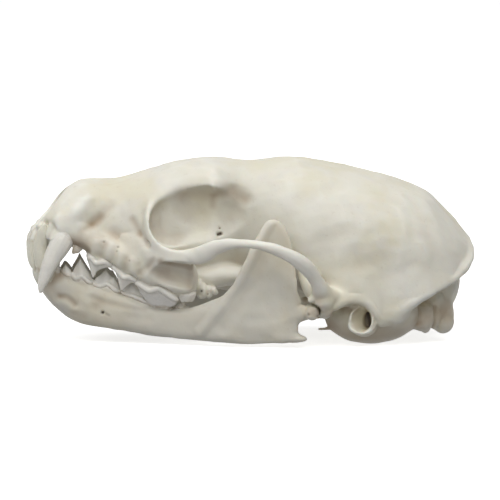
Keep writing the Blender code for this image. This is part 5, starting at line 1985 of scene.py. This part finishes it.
@dataclass
class Studio:
    """The floor, the light and the camera.

    The camera's target and distance are frame millimetres, its angles degrees, and the floor metres.
    """

    target: Point = (0.085, 0.0, 17.31)
    distance: float = 800.0
    azimuth: float = -3.0
    elevation: float = 5.4
    lens: float = 295.4
    floor_reach: float = 3.0
    floor_bend: float = 0.5
    bend_steps: int = 16
    surround: float = 0.22

    def floor(self) -> None:
        """A pale floor that rises into a backdrop far behind the skull."""
        reach, bend = self.floor_reach, self.floor_bend
        profile = [(-reach, 0.0), (reach - bend, 0.0)]
        for step in range(1, self.bend_steps + 1):
            angle = math.pi / 2 * step / self.bend_steps
            profile.append((reach - bend + bend * math.sin(angle), bend - bend * math.cos(angle)))
        profile.append((reach, reach))
        points = [(x, y, z) for x in (-reach, reach) for y, z in profile]
        count = len(profile)
        faces = [(i, i + count, i + count + 1, i + 1) for i in range(count - 1)]
        mesh = bpy.data.meshes.new("floor")
        mesh.from_pydata(points, [], faces)
        mesh.materials.append(FloorFinish().make())
        mesh.shade_smooth()
        ground = mesh_piece("floor", mesh)
        ground.visible_diffuse = False

    def lamp(self, name: str, place: Point, size: float, power: float, colour: Colour) -> None:
        """A soft square lamp that faces the skull.

        Args:
            name: Its name.
            place: Where it stands, in metres.
            size: Its side, in metres.
            power: Its strength in watts.
            colour: Its colour.
        """
        light = bpy.data.lights.new(name, "AREA")
        light.shape = "SQUARE"
        light.size = size
        light.energy = power
        light.color = colour
        lamp = bpy.data.objects.new(name, light)
        lamp.location = place
        aim = Vector((0.0, 0.0, 0.018)) - Vector(place)
        lamp.rotation_mode = "QUATERNION"
        lamp.rotation_quaternion = aim.to_track_quat("-Z", "Y")
        bpy.context.scene.collection.objects.link(lamp)

    def lights(self) -> None:
        """A broad light over the camera, weaker ones below, beside and above, and a pale surround."""
        self.lamp("front", (0.1, -0.7, 1.4), 1.6, 16.5, (1.0, 0.998, 0.98))
        self.lamp("low", (-0.3, -1.2, 0.55), 1.0, 2.8, (1.0, 1.0, 0.99))
        self.lamp("side", (-1.0, -0.3, 1.0), 1.0, 4.4, (1.0, 1.0, 0.99))
        self.lamp("top", (0.0, 0.0, 1.6), 2.0, 1.8, (1.0, 1.0, 1.0))
        world = bpy.data.worlds.new("surround")
        world.use_nodes = True
        background = world.node_tree.nodes["Background"]
        background.inputs["Color"].default_value = (1.0, 1.0, 1.0, 1.0)
        background.inputs["Strength"].default_value = self.surround
        bpy.context.scene.world = world

    def camera(self) -> None:
        """The camera, at the photograph's angle and distance."""
        turn, rise = math.radians(self.azimuth), math.radians(self.elevation)
        back = Vector((math.sin(turn) * math.cos(rise), -math.cos(turn) * math.cos(rise), math.sin(rise)))
        lens = bpy.data.cameras.new("camera")
        lens.sensor_width = 36.0
        lens.lens = self.lens
        lens.clip_start = 0.01
        lens.clip_end = 20.0
        camera = bpy.data.objects.new("camera", lens)
        camera.location = (Vector(self.target) + back * self.distance) * MM
        camera.rotation_mode = "QUATERNION"
        camera.rotation_quaternion = (-back).to_track_quat("-Z", "Y")
        bpy.context.scene.collection.objects.link(camera)
        bpy.context.scene.camera = camera
        bpy.context.scene.view_settings.view_transform = "Standard"

    def build(self) -> None:
        """Sets up the studio."""
        self.floor()
        self.lights()
        self.camera()


def report(piece: bpy.types.Object) -> None:
    """Reports a finished piece."""
    log.info("%s: %d points", piece.name, len(piece.data.vertices))


def main() -> None:
    """Builds the skull's looks, piece by piece."""
    logging.basicConfig(level=logging.INFO, format="%(name)s %(message)s", stream=sys.stdout)
    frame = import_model()
    Studio().build()
    cranium = Bone(
        node="cranium",
        slot=CRANIUM_SLOT,
        finish=BoneFinish("cranium_bone_carved"),
        gums=UPPER_GUMS,
        way=Jaw.UPPER,
        adds=CRANIUM_ADDS,
        cuts=CRANIUM_CUTS,
        shelves=CRANIUM_SHELVES,
        eases=CRANIUM_EASES,
        marks=CRANIUM_MARKS,
    )
    report(cranium.build(frame))
    # The jaw's bone is a darker copy of the skull's: partly a darker tone of its own, partly painted shade.
    shaded_jaw_finish = BoneFinish(
        "jaw_bone_carved",
        ivory=(0.71, 0.685, 0.605),
        warm=(0.685, 0.635, 0.515),
        cool=(0.66, 0.64, 0.59),
        worn=(0.82, 0.80, 0.73),
        seed=7.0,
    )
    for side in Side:
        jaw = Bone(
            node=f"lower_jaw_{side.word}",
            slot=JAW_SLOT,
            finish=shaded_jaw_finish,
            gums=LOWER_GUMS,
            way=Jaw.LOWER,
            adds=JAW_ADDS,
            eases=JAW_EASES,
            marks=JAW_MARKS,
            sides=(side,),
            most_triangles=90000,
        )
        report(jaw.build(frame))
    dentition = Dentition(
        EnamelFinish("enamel"),
        EnamelFinish("front_enamel", white=(0.80, 0.775, 0.66), grey=(0.72, 0.70, 0.60), seed=6.0),
    )
    for tooth in dentition.build():
        report(tooth)


if __name__ == "__main__":
    main()
